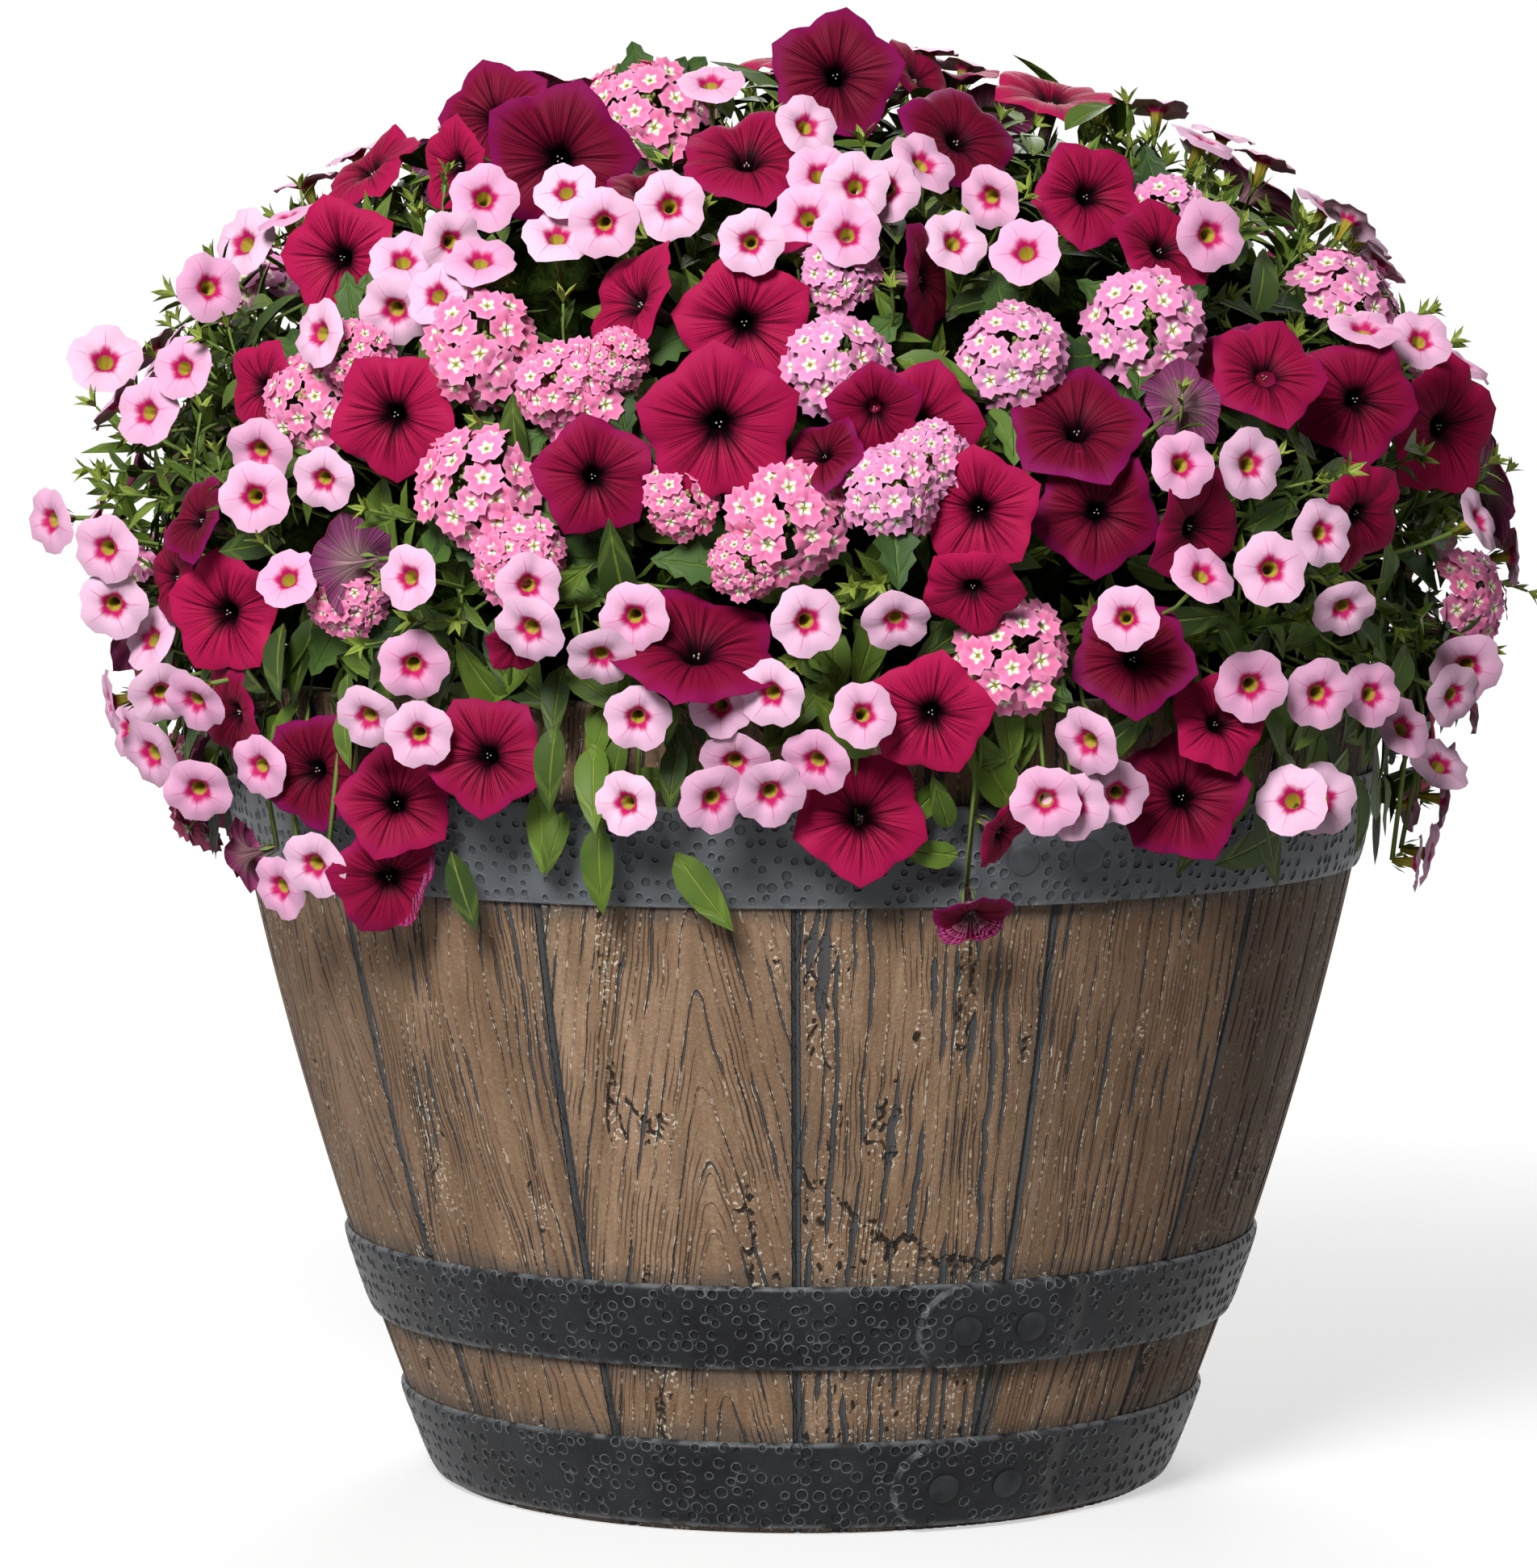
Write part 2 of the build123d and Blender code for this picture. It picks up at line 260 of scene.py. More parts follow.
# %% [markdown]
# The studio: a pale floor, a white surround and three soft lamps. The key lamp is large and
# stands high at the front left, so the barrel's right side falls into shade as it does in the
# picture. The floor looks white to the camera but still takes the barrel's shadow.

# %% Floor, surround and lamps
FLOOR_SIZE = 16
FLOOR_GREY = 0.45
FLOOR_LIFT = 0.56
FLOOR_NEAR = 0.5
FLOOR_FAR = 1.6
SURROUND_LIGHT = 0.06

bpy.ops.object.select_all(action="DESELECT")
bpy.ops.mesh.primitive_plane_add(size=FLOOR_SIZE)
floor = bpy.context.object
floor.name = "studio_floor"
floor_material = bpy.data.materials.new("pale_floor")
floor_material.use_nodes = True
tree = floor_material.node_tree
paint = Value(tree)
shader = tree.nodes["Principled BSDF"]
shader.inputs["Roughness"].default_value = 0.9
shader.inputs["Specular IOR Level"].default_value = 0.1
shader.inputs["Emission Strength"].default_value = 1
_, (x, y, _) = object_place(paint)
far = (x * x + y * y).math("SQRT").rise(FLOOR_NEAR, FLOOR_FAR)
lift = far * (1 - FLOOR_LIFT) + FLOOR_LIFT
shown = (light_rays(paint) * lift).mix((0, 0, 0), (1, 1, 1))
tree.links.new(shown.socket, shader.inputs["Emission Color"])
grey = far.mix((FLOOR_GREY, FLOOR_GREY, FLOOR_GREY), (0, 0, 0))
tree.links.new(grey.socket, shader.inputs["Base Color"])
floor.data.materials.append(floor_material)
floor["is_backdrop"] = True

world = bpy.data.worlds.new("white_surround")
bpy.context.scene.world = world
world.use_nodes = True
tree = world.node_tree
sky = Value(tree)
background = tree.nodes["Background"]
strength = light_rays(sky) * (1 - SURROUND_LIGHT) + SURROUND_LIGHT
tree.links.new(strength.socket, background.inputs["Strength"])
background.inputs["Color"].default_value = (1, 1, 1, 1)


def lamp(name, place, target, size, watts):
    """Square area lamp that looks at a target."""
    data = bpy.data.lights.new(name, "AREA")
    data.shape = "SQUARE"
    data.size = size
    data.energy = watts
    thing = bpy.data.objects.new(name, data)
    bpy.context.scene.collection.objects.link(thing)
    thing.location = place
    aim = np.array(target) - np.array(place)
    flat = math.hypot(aim[0], aim[1])
    thing.rotation_euler = (math.atan2(flat, -aim[2]), 0, math.atan2(-aim[0], aim[1]))


BARREL_MIDDLE = (0, 0, 0.33)
WHOLE_MIDDLE = (0, 0, 0.4)
lamp("key_lamp", (-0.85, -2.75, 2.05), BARREL_MIDDLE, 1.0, 138)
lamp("left_lamp", (-2.6, -0.4, 1.2), WHOLE_MIDDLE, 1.4, 6)
lamp("back_lamp", (0.2, 2.9, 2.3), WHOLE_MIDDLE, 1.6, 66)

# %% [markdown]
# Wood and old stems are uneven in a soft, random way. This field gives each cell of a grid a
# random number and blends smoothly between them. It is worked out from whole numbers, so it is
# the same on every run.

# %% A smooth random field
def cell_noise(cell, seed):
    """Random number for each cell of a grid, the same on every run."""
    mixed = cell[:, 0] * 73856093 ^ cell[:, 1] * 19349663 ^ cell[:, 2] * 83492791 ^ seed * 2654435
    mixed = (mixed ^ mixed >> 13) * 1274126177 & 0xFFFFFFFF
    return (mixed ^ mixed >> 16) % 65536 / 65535


def lumps(points, size, seed=1):
    """Smooth random field from -1 to 1 with lumps about so large."""
    grid = points / size + 1000
    cell = np.floor(grid).astype(np.int64)
    part = grid - cell
    part = part * part * (3 - 2 * part)
    total = 0
    for corner in range(8):
        offset = np.array([corner & 1, corner >> 1 & 1, corner >> 2 & 1])
        weight = np.prod(np.where(offset, part, 1 - part), axis=1)
        total = total + weight * cell_noise(cell + offset, seed)
    return total * 2 - 1


print("random field at the origin:", round(float(lumps(np.zeros((1, 3)), 1.0)[0]), 3))

# %% [markdown]
# Every plant is made of a few shapes that repeat: a petal trumpet, a leaf, a stem. Each shape is
# modelled once with Blender's own tools, shaped in code, and read back as plain numbers. Copies
# are then only a turn, a size and a place, and all copies in one clump become one mesh.
# A map named petal keeps where a point lies on its flower or leaf, for the materials.

# %% Helpers for shapes that repeat
def new_piece(name, add_primitive, **sizes):
    """Add a primitive, name it, and open it in edit mode with all selected."""
    bpy.ops.object.select_all(action="DESELECT")
    add_primitive(**sizes)
    piece = bpy.context.object
    piece.name = name
    bpy.ops.object.mode_set(mode="EDIT")
    bpy.ops.mesh.select_all(action="SELECT")
    return piece


def seal(weld=True, close=True):
    """In edit mode: join double points, close open ends and turn the faces outwards."""
    if weld:
        bpy.ops.mesh.select_all(action="SELECT")
        bpy.ops.mesh.remove_doubles(threshold=1e-6)
    if close:
        bpy.ops.mesh.select_all(action="SELECT")
        bpy.ops.mesh.fill_holes(sides=0)
    bpy.ops.mesh.select_all(action="SELECT")
    bpy.ops.mesh.normals_make_consistent(inside=False)
    bpy.ops.object.mode_set(mode="OBJECT")


def points_of(mesh):
    """The places of a mesh's points, one row each."""
    flat = np.empty(len(mesh.vertices) * 3)
    mesh.vertices.foreach_get("co", flat)
    return flat.reshape(-1, 3)


def move_points(mesh, points):
    """Put a mesh's points in new places."""
    mesh.vertices.foreach_set("co", np.asarray(points, dtype=float).ravel())
    mesh.update()


def keep_numbers(mesh, **fields):
    """Keep a number on each point under each name, for the materials to read."""
    for name, values in fields.items():
        mesh.attributes.new(name, "FLOAT", "POINT").data.foreach_set("value", values)


def write_map(mesh, layer_name, point_map):
    """Give each corner of each face the map value of its point."""
    corners = np.empty(len(mesh.loops), dtype=np.int32)
    mesh.loops.foreach_get("vertex_index", corners)
    layer = mesh.uv_layers.new(name=layer_name)
    layer.data.foreach_set("uv", np.asarray(point_map, dtype=float)[corners].ravel())


def taken(piece):
    """Read a finished shape as arrays, and remove its object."""
    mesh = piece.data
    shape = {"points": points_of(mesh)}
    for key, source, field, kind in (("corners", mesh.loops, "vertex_index", np.int32),
                                     ("starts", mesh.polygons, "loop_start", np.int32),
                                     ("paints", mesh.polygons, "material_index", np.int32)):
        values = np.empty(len(source), dtype=kind)
        source.foreach_get(field, values)
        shape[key] = values
    flat = np.empty(len(mesh.loops) * 2)
    mesh.uv_layers["petal"].data.foreach_get("uv", flat)
    shape["petal"] = flat.reshape(-1, 2)
    print(piece.name, "has", len(mesh.polygons), "faces")
    bpy.data.objects.remove(piece)
    bpy.data.meshes.remove(mesh)
    return shape


print("shape helpers ready")

# %% [markdown]
# A petunia is one funnel: a narrow tube that flares into a flat face with five lobes. A circle
# is extruded ring by ring along the funnel's profile. The lobes come from moving the points:
# the rim is drawn in at five notches, drawn out at five tips, and waved a little, differently
# for each of four flowers. Solidify gives the petal its back, which has a duller finish.

# %% Petal trumpets
LOBES = 5
PETAL_THICKNESS = 0.25 * MM


def trumpet(name, profile, sides):
    """Funnel along a profile of (radius, height) rings in millimetres, mouth towards +Z."""
    radius, height = profile[0]
    piece = new_piece(name, bpy.ops.mesh.primitive_circle_add,
                      vertices=sides, radius=radius * MM, fill_type="NGON")
    bpy.ops.transform.translate(value=(0, 0, height * MM))
    for before, after in zip(profile, profile[1:]):
        step = (0, 0, (after[1] - before[1]) * MM)
        bpy.ops.mesh.extrude_edges_move(TRANSFORM_OT_translate={"value": step})
        spread = after[0] / before[0]
        bpy.ops.transform.resize(value=(spread, spread, 1),
                                 center_override=(0, 0, after[1] * MM))
    bpy.ops.object.mode_set(mode="OBJECT")
    return piece


def shape_lobes(piece, notch, tip, wave, seed):
    """Map the petal, then draw its rim into five lobes and wave it."""
    draw = np.random.default_rng(seed)
    mesh = piece.data
    points = points_of(mesh)
    across = np.hypot(points[:, 0], points[:, 1])
    turn = np.arctan2(points[:, 1], points[:, 0])
    outward = across / across.max()
    write_map(mesh, "petal", 0.5 + 0.5 * points[:, :2] / across.max())
    crest = (1 + np.cos(LOBES * turn)) / 2
    valley = 1 - crest
    rim = outward ** 3
    reach = 1 - notch * rim * valley ** 4 + tip * rim * crest ** 9
    points[:, :2] *= reach[:, None]
    size = across.max()
    lift = -0.10 * valley ** 3 * outward ** 2 - 0.035 * crest ** 8 * outward
    for lobe in range(LOBES):
        away = (turn - lobe * FULL_TURN / LOBES + math.pi) % FULL_TURN - math.pi
        lift = lift + wave * draw.uniform(-2.6, 1.2) * np.exp(-(away / 0.5) ** 2) * outward ** 2
    for count in (2, 5, 8, 13):
        phase = draw.uniform(0, FULL_TURN)
        swing = wave * draw.uniform(0.3, 0.8) / count ** 0.4 * np.cos(count * turn + phase)
        lift = lift + swing * rim
    points[:, 2] += lift * size
    move_points(mesh, points)


def face_mouth(piece):
    """Turn the faces so that those of the flower's mouth look towards +Z."""
    upward = sum(face.normal.z * face.area for face in piece.data.polygons)
    if upward < 0:
        piece.data.flip_normals()


def give_back(piece, thickness):
    """Thicken a petal away from its mouth; the back takes the next material."""
    bpy.ops.object.select_all(action="DESELECT")
    piece.select_set(True)
    bpy.context.view_layer.objects.active = piece
    bpy.ops.object.modifier_add(type="SOLIDIFY")
    solid = piece.modifiers[-1]
    solid.thickness = thickness
    solid.offset = -1
    solid.material_offset = 1
    solid.material_offset_rim = 0
    for paint_name in ("front", "back"):
        piece.data.materials.append(bpy.data.materials.new(paint_name))
    bpy.ops.object.modifier_apply(modifier=solid.name)


PETUNIA_SIDES = 40
PETUNIA_PROFILE = [(1.7, -31), (2.4, -23), (3.4, -14), (4.4, -8.5), (6.4, -5.0),
                   (10.5, -2.4), (16.0, -0.6), (21.5, 0.3), (26.2, 0.2), (28.7, -0.3), (29, -0.4)]
petunias = []
for seed in range(4):
    flower = trumpet("petunia_%d" % seed, PETUNIA_PROFILE, PETUNIA_SIDES)
    shape_lobes(flower, 0.11, 0.11, 0.05 + 0.022 * seed, seed)
    face_mouth(flower)
    give_back(flower, PETAL_THICKNESS)
    petunias.append(taken(flower))

# %% [markdown]
# A calibrachoa is the same funnel at half the size, with five rounded lobes. There are some two
# hundred, so each has only some eighty faces and no thickness.

# %% Calibrachoa
CALIBRACHOA_SIDES = 20
CALIBRACHOA_PROFILE = [(1.3, -13), (2.7, -3.2), (5.6, -0.2), (10.2, 0.7), (14.2, 0.1)]
calibrachoas = []
for seed in range(4):
    flower = trumpet("calibrachoa_%d" % seed, CALIBRACHOA_PROFILE, CALIBRACHOA_SIDES)
    shape_lobes(flower, 0.12, 0.0, 0.04 + 0.02 * seed, 20 + seed)
    face_mouth(flower)
    calibrachoas.append(taken(flower))

# %% [markdown]
# A verbena head is a dome of small flowers round a middle of buds. One small flower is a disc of
# five lobes, each with a notch in its tip, so its rim has four points for each lobe.

# %% Verbena flower
FLORET_SIDES = 20
FLORET_PROFILE = [(1.1, -0.6), (3.1, 0.1), (7.1, 0.3)]
FLORET_REACH = (0.90, 1.0, 0.74, 1.0)
floret = trumpet("verbena_flower", FLORET_PROFILE, FLORET_SIDES)
points = points_of(floret.data)
across = np.hypot(points[:, 0], points[:, 1])
write_map(floret.data, "petal", 0.5 + 0.5 * points[:, :2] / across.max())
turn = np.arctan2(points[:, 1], points[:, 0])
place = np.rint(turn / FULL_TURN * FLORET_SIDES).astype(int) % len(FLORET_REACH)
rim = across > 4 * MM
reach = np.where(rim, np.array(FLORET_REACH)[place], 1.0)
points[:, :2] *= reach[:, None]
points[:, 2] += np.where(rim, np.cos(place * math.pi) * -0.25 * MM, 0)
move_points(floret.data, points)
face_mouth(floret)
verbena_flower = taken(floret)


# %% [markdown]
# Leaves are grids, narrowed to a leaf's outline, folded along the midrib and curled downwards.
# The petunia's is broad, the calibrachoa's narrow, and the verbena's has a saw edge. The same
# grid, narrower still, makes the green sepals behind each flower.

# %% Leaves
LEAF_COLUMNS = 2


def leaf(name, length, width, rows, fold, curl, saw=0.0):
    """Leaf along +Y from the origin, with its upper face towards +Z; sizes in millimetres."""
    piece = new_piece(name, bpy.ops.mesh.primitive_grid_add,
                      x_subdivisions=LEAF_COLUMNS, y_subdivisions=rows, size=1)
    bpy.ops.object.mode_set(mode="OBJECT")
    points = points_of(piece.data)
    side = points[:, 0] * 2
    along = points[:, 1] + 0.5
    write_map(piece.data, "petal", np.stack([0.5 + 0.5 * side, along], axis=1))
    outline = np.sin(math.pi * np.clip(along, 0, 1) ** 0.85) ** 0.8 + 0.06 * (along < 0.5)
    row = np.rint(along * rows).astype(int)
    outline = outline * (1 - saw * (row % 2))
    points[:, 0] = side * outline * width / 2 * MM
    points[:, 1] = along * length * MM
    points[:, 2] = (np.abs(side) * outline * fold * width / 2 - curl * length * along ** 2) * MM
    move_points(piece.data, points)
    return taken(piece)


petunia_leaf = leaf("petunia_leaf", 36, 14, 6, 0.40, 0.26)
calibrachoa_leaf = leaf("calibrachoa_leaf", 18, 5.2, 3, 0.5, 0.14)
verbena_leaf = leaf("verbena_leaf", 30, 17, 9, 0.3, 0.18, saw=0.3)
sepal = leaf("sepal", 11, 2.6, 2, 0.5, -0.05)

# %% [markdown]
# A bud is a small pointed ball. A stem is a thin tube of four sides that is laid along a path of
# points, so it is worked out anew for each path.

# %% Buds and stems
BUD_SLIMNESS = 2.1
piece = new_piece("bud", bpy.ops.mesh.primitive_ico_sphere_add, subdivisions=1, radius=1 * MM)
bpy.ops.transform.resize(value=(1, 1, BUD_SLIMNESS), center_override=(0, 0, 0))
bpy.ops.object.mode_set(mode="OBJECT")
points = points_of(piece.data)
write_map(piece.data, "petal",
          np.stack([points[:, 0] * 0 + 0.5, points[:, 2] / MM * 0.2 + 0.5], axis=1))
bud = taken(piece)


def stem_shape(path, radius, sides=4):
    """Thin tube along a path of points, tapering to two thirds."""
    path = np.asarray(path)
    ahead = np.gradient(path, axis=0)
    ahead /= np.linalg.norm(ahead, axis=1)[:, None]
    helper = np.where(np.abs(ahead[:, 2:3]) < 0.9, [[0, 0, 1.0]], [[1.0, 0, 0]])
    first = np.cross(ahead, helper)
    first /= np.linalg.norm(first, axis=1)[:, None]
    second = np.cross(ahead, first)
    spin = np.arange(sides) * FULL_TURN / sides
    girth = radius * np.linspace(1, 0.66, len(path))[:, None, None]
    ring = first[:, None] * np.cos(spin)[:, None] + second[:, None] * np.sin(spin)[:, None]
    points = (path[:, None] + girth * ring).reshape(-1, 3)
    faces = []
    for step in range(len(path) - 1):
        for side in range(sides):
            after = (side + 1) % sides
            low, high = step * sides, (step + 1) * sides
            faces.append((low + side, high + side, high + after, low + after))
    faces.append(tuple(range(sides)))
    faces.append(tuple(reversed(range(len(points) - sides, len(points)))))
    return points, faces


# %% [markdown]
# The planting is a mound: a half ellipsoid over the rim that hangs a little past it. Blossoms
# seen in the picture are put where a line of sight through their pixel meets that mound, so they
# sit on it from every side. Behind, where nothing is seen, blossoms of the same three kinds are
# strewn with the same spacing.

# %% The mound's surface
MOUND_RADIUS = 0.320
MOUND_MIDDLE = 0.410
MOUND_RISE = 0.226
SKIRT_LOW = 0.300
SKIRT_RADIUS = 0.290
SKIRT_SLOPE = (MOUND_RADIUS - SKIRT_RADIUS) / (MOUND_MIDDLE - SKIRT_LOW)
SIGHT_NEAR = 2.2
SIGHT_FAR = 2.9
UP = np.array([0, 0, 1.0])


def mound_share(points):
    """How far out points are, as a share of the way to the mound's surface."""
    points = np.asarray(points)
    across = np.hypot(points[..., 0], points[..., 1])
    height = points[..., 2]
    dome = np.hypot(across / MOUND_RADIUS, (height - MOUND_MIDDLE) / MOUND_RISE)
    flank = across / (SKIRT_RADIUS + SKIRT_SLOPE * (height - SKIRT_LOW))
    return np.where(height > MOUND_MIDDLE, dome, flank)


def mound_normal(point):
    """Outward direction at a point near the mound's surface."""
    step = 1 * MM
    around = np.eye(3) * step
    slope = mound_share(point + around) - mound_share(point - around)
    return slope / np.linalg.norm(slope)


def mound_point(azimuth, height, share=1.0):
    """Point of the mound at an azimuth and a height."""
    if height > MOUND_MIDDLE:
        rise = min((height - MOUND_MIDDLE) / (MOUND_RISE * share), 1)
        across = MOUND_RADIUS * share * math.sqrt(1 - rise * rise)
    else:
        across = share * (SKIRT_RADIUS + SKIRT_SLOPE * (height - SKIRT_LOW))
    return np.array([across * math.sin(azimuth), -across * math.cos(azimuth), height])


def seen_point(column, row, share):
    """Where the line of sight through a pixel meets the mound, or comes nearest to it."""
    aside = (column - AXIS_COLUMN) / FOCAL_PIXELS
    above = (PICTURE_HEIGHT / 2 - row) / FOCAL_PIXELS
    cosine, sine = math.cos(LOOK_DOWN), math.sin(LOOK_DOWN)
    sight = np.array([aside, cosine + above * sine, above * cosine - sine])
    reach = np.arange(SIGHT_NEAR, SIGHT_FAR, 1 * MM)
    points = EYE + reach[:, None] * sight
    shares = mound_share(points)
    inside = np.nonzero(shares < share)[0]
    return points[inside[0] if len(inside) else shares.argmin()]


def towards(azimuth, elevation):
    """Direction with an azimuth and an elevation."""
    flat = math.cos(elevation)
    return np.array([flat * math.sin(azimuth), -flat * math.cos(azimuth), math.sin(elevation)])


def facing_frame(facing, roll):
    """Turn that takes +Z to a direction and rolls about it; its columns are the axes."""
    ahead = facing / np.linalg.norm(facing)
    helper = UP if abs(ahead[2]) < 0.95 else np.array([0, 1.0, 0])
    right = np.cross(helper, ahead)
    right /= np.linalg.norm(right)
    upward = np.cross(ahead, right)
    cosine, sine = math.cos(roll), math.sin(roll)
    turned = (right * cosine + upward * sine, upward * cosine - right * sine, ahead)
    return np.stack(turned, axis=1)


def blade_frame(along, upward):
    """Turn that takes +Y along a leaf, with its upper face as near to upward as can be."""
    along = along / np.linalg.norm(along)
    side = np.cross(along, upward)
    side /= max(np.linalg.norm(side), 1e-9)
    return np.stack([side, along, np.cross(side, along)], axis=1)


print("mound's surface at the front:", np.round(mound_point(0.0, MOUND_MIDDLE), 3).tolist())

# %% [markdown]
# The planting is divided by azimuth into eight clumps, as the CAD is. Each copy of a shape waits
# in the bin of its clump and kind until all are made into one mesh.

# %% Bins that collect copies, clump by clump
CLUMPS = 8
LEAF_PAINT, STEM_PAINT, VERBENA_LEAF_PAINT, BUD_PAINT, STAMEN_PAINT = range(5)
bins = {kind: [[] for _ in range(CLUMPS)]
        for kind in ("leaves", "petunias", "calibrachoas", "verbenas")}


def clump_of(point):
    """Number of the clump, from 0, that a point's azimuth lies in."""
    azimuth = math.atan2(point[0], -point[1]) % FULL_TURN
    return int(azimuth / FULL_TURN * CLUMPS) % CLUMPS


def place_copy(kind, shape, turn, origin, tone, paint, clump):
    """Put one copy of a shape in its clump's bin; a paint of None keeps the shape's own."""
    points = shape["points"] @ turn.T + origin
    bins[kind][clump].append((points, shape, tone, paint))


def place_stem(path, radius, tone, clump):
    """Put a stem along a path in its clump's bin."""
    points, faces = stem_shape(path, radius)
    corners = np.concatenate([np.array(face) for face in faces])
    counts = np.array([len(face) for face in faces])
    along = np.repeat(np.linspace(0, 1, len(path)), len(points) // len(path))
    shape = {"points": points, "corners": corners, "starts": np.cumsum(counts) - counts,
             "paints": np.zeros(len(faces), dtype=int),
             "petal": np.stack([along * 0 + 0.5, along], axis=1)[corners]}
    bins["leaves"][clump].append((points, shape, tone, STEM_PAINT))


print("bins:", ", ".join(bins), "in", CLUMPS, "clumps")

# %% [markdown]
# One row for each blossom that the picture shows: its column, row and width in pixels, and how
# far it is turned to the right and upwards from facing the camera, in degrees.

# %% Blossoms seen in the picture
PETUNIAS = [
    (1035, 90, 165, 0, 15), (690, 195, 190, -8, 5), (612, 140, 145, -20, 25), (560, 205, 120, -50, 0),
    (925, 190, 170, 0, 52), (1192, 168, 160, 30, 30), (1142, 92, 120, 60, 40), (1350, 240, 140, 20, 15),
    (1442, 305, 135, 30, 30), (418, 318, 150, -22, 5), (780, 370, 165, -58, 25), (922, 400, 172, 0, 0),
    (1158, 345, 150, 68, 0), (950, 290, 130, 0, 72), (890, 528, 200, 0, -8), (486, 515, 160, -15, -5),
    (320, 480, 120, -48, 0), (736, 590, 150, 5, 0), (1140, 530, 160, 10, -5), (1335, 525, 175, 5, 38),
    (1212, 632, 155, -5, -5), (1360, 632, 160, 5, 5), (1487, 655, 155, 48, -10), (1570, 462, 150, 20, 32),
    (1683, 495, 155, 15, 0), (1795, 530, 175, 42, -5), (1690, 640, 140, 45, -20), (1205, 735, 130, 0, -40),
    (275, 760, 155, -28, -5), (208, 715, 120, -68, 0), (285, 885, 125, -60, -15), (865, 800, 205, 0, 48),
    (1405, 812, 155, 5, 18), (1152, 885, 155, -5, -10), (1512, 892, 130, 30, 20), (1465, 985, 165, 5, 8),
    (1068, 1010, 168, 10, 5), (600, 935, 152, -15, 5), (385, 955, 145, -32, -5), (490, 992, 145, -5, 10),
    (482, 1092, 150, 0, -20), (1205, 1140, 105, 25, -58), (1245, 1035, 95, 60, -30), (1832, 790, 155, 76, -5),
    (240, 640, 115, -60, 20), (430, 700, 125, -150, -10), (300, 1060, 95, -115, -20), (1080, 505, 120, 0, -20),
    (1540, 440, 125, 0, 45), (1468, 500, 115, 150, 20), (800, 235, 110, 20, 60), (1020, 560, 110, -30, 40),
    (640, 800, 80, 10, -30), (250, 960, 90, -120, -10),
]
CALIBRACHOAS = [
    (600, 245), (500, 320), (595, 320), (487, 385), (748, 277), (830, 255), (690, 290), (540, 365),
    (1225, 245), (1270, 310), (1180, 300), (1100, 235), (1060, 230), (1000, 155), (1145, 200), (880, 100),
    (315, 615), (400, 595), (130, 680), (260, 355), (130, 445), (225, 455), (180, 510), (355, 715),
    (505, 715), (655, 725), (655, 780), (785, 770), (745, 810), (790, 890), (512, 825), (455, 890),
    (520, 910), (890, 870), (955, 860), (1070, 885), (1000, 770), (1110, 770), (1395, 765), (1345, 920),
    (885, 990), (955, 980), (1010, 945), (910, 950), (775, 995), (1295, 990), (1330, 1000), (1385, 985),
    (1550, 850), (1635, 860), (1640, 990), (1600, 990), (1575, 705), (1490, 710), (1465, 575), (1550, 575),
    (1665, 755), (1800, 860), (1740, 900), (1785, 945), (240, 870), (185, 935), (320, 950), (245, 980),
    (140, 750), (200, 860), (345, 1100), (388, 1072), (320, 560), (60, 645), (1690, 405),
    (1760, 420), (1000, 270), (930, 300), (1050, 290), (185, 790), (1640, 660), (135, 870), (700, 235),
    (1500, 290), (400, 415), (300, 300), (1820, 830), (1700, 860), (1015, 215), (560, 300),
]
VERBENAS = [
    (805, 120, 160), (600, 420, 165), (375, 490, 140), (710, 480, 150), (580, 590, 170), (640, 690, 130),
    (430, 740, 110), (850, 612, 110), (980, 645, 165), (1110, 600, 135), (1045, 440, 150), (1260, 425, 150),
    (1425, 390, 170), (1450, 255, 130), (1250, 800, 165), (925, 690, 100), (1040, 325, 110), (430, 425, 100),
    (690, 470, 120), (760, 440, 90), (1150, 560, 110),
]
print("blossoms in view:", len(PETUNIAS), "petunias,", len(CALIBRACHOAS), "calibrachoas,",
      len(VERBENAS), "verbenas")

# %% [markdown]
# Each row becomes a place on the mound, a direction and a real width. Sizes and turns that the
# rows don't give are drawn from one seeded source, and every later step draws from it too.

# %% Put the seen blossoms on the mound
CALIBRACHOA_PIXELS = (80, 94)
WARM_TONE = 0.2
COOL_TONE = 0.8
WARM_FROM_ROW = 700
draw = np.random.default_rng(7)
blossoms = []


def seen_size(point, pixels):
    """Real width of something that is so many pixels wide at a point."""
    return pixels / FOCAL_PIXELS * np.linalg.norm(point - EYE)


def add_blossom(kind, point, facing, width, tone=None):
    """Note down one blossom; without a tone it gets a random one."""
    tone = draw.uniform() if tone is None else tone
    blossoms.append({"kind": kind, "point": point, "facing": facing / np.linalg.norm(facing),
                     "width": width, "tone": tone, "variant": int(draw.integers(4)),
                     "roll": draw.uniform(0, FULL_TURN)})


def turned_from_eye(point, right, upward):
    """Direction from a point to the camera, turned to the right and upwards by degrees."""
    sight = EYE - point
    azimuth = math.atan2(sight[0], -sight[1]) + math.radians(right)
    elevation = math.atan2(sight[2], math.hypot(sight[0], sight[1])) + math.radians(upward)
    return towards(azimuth, elevation)


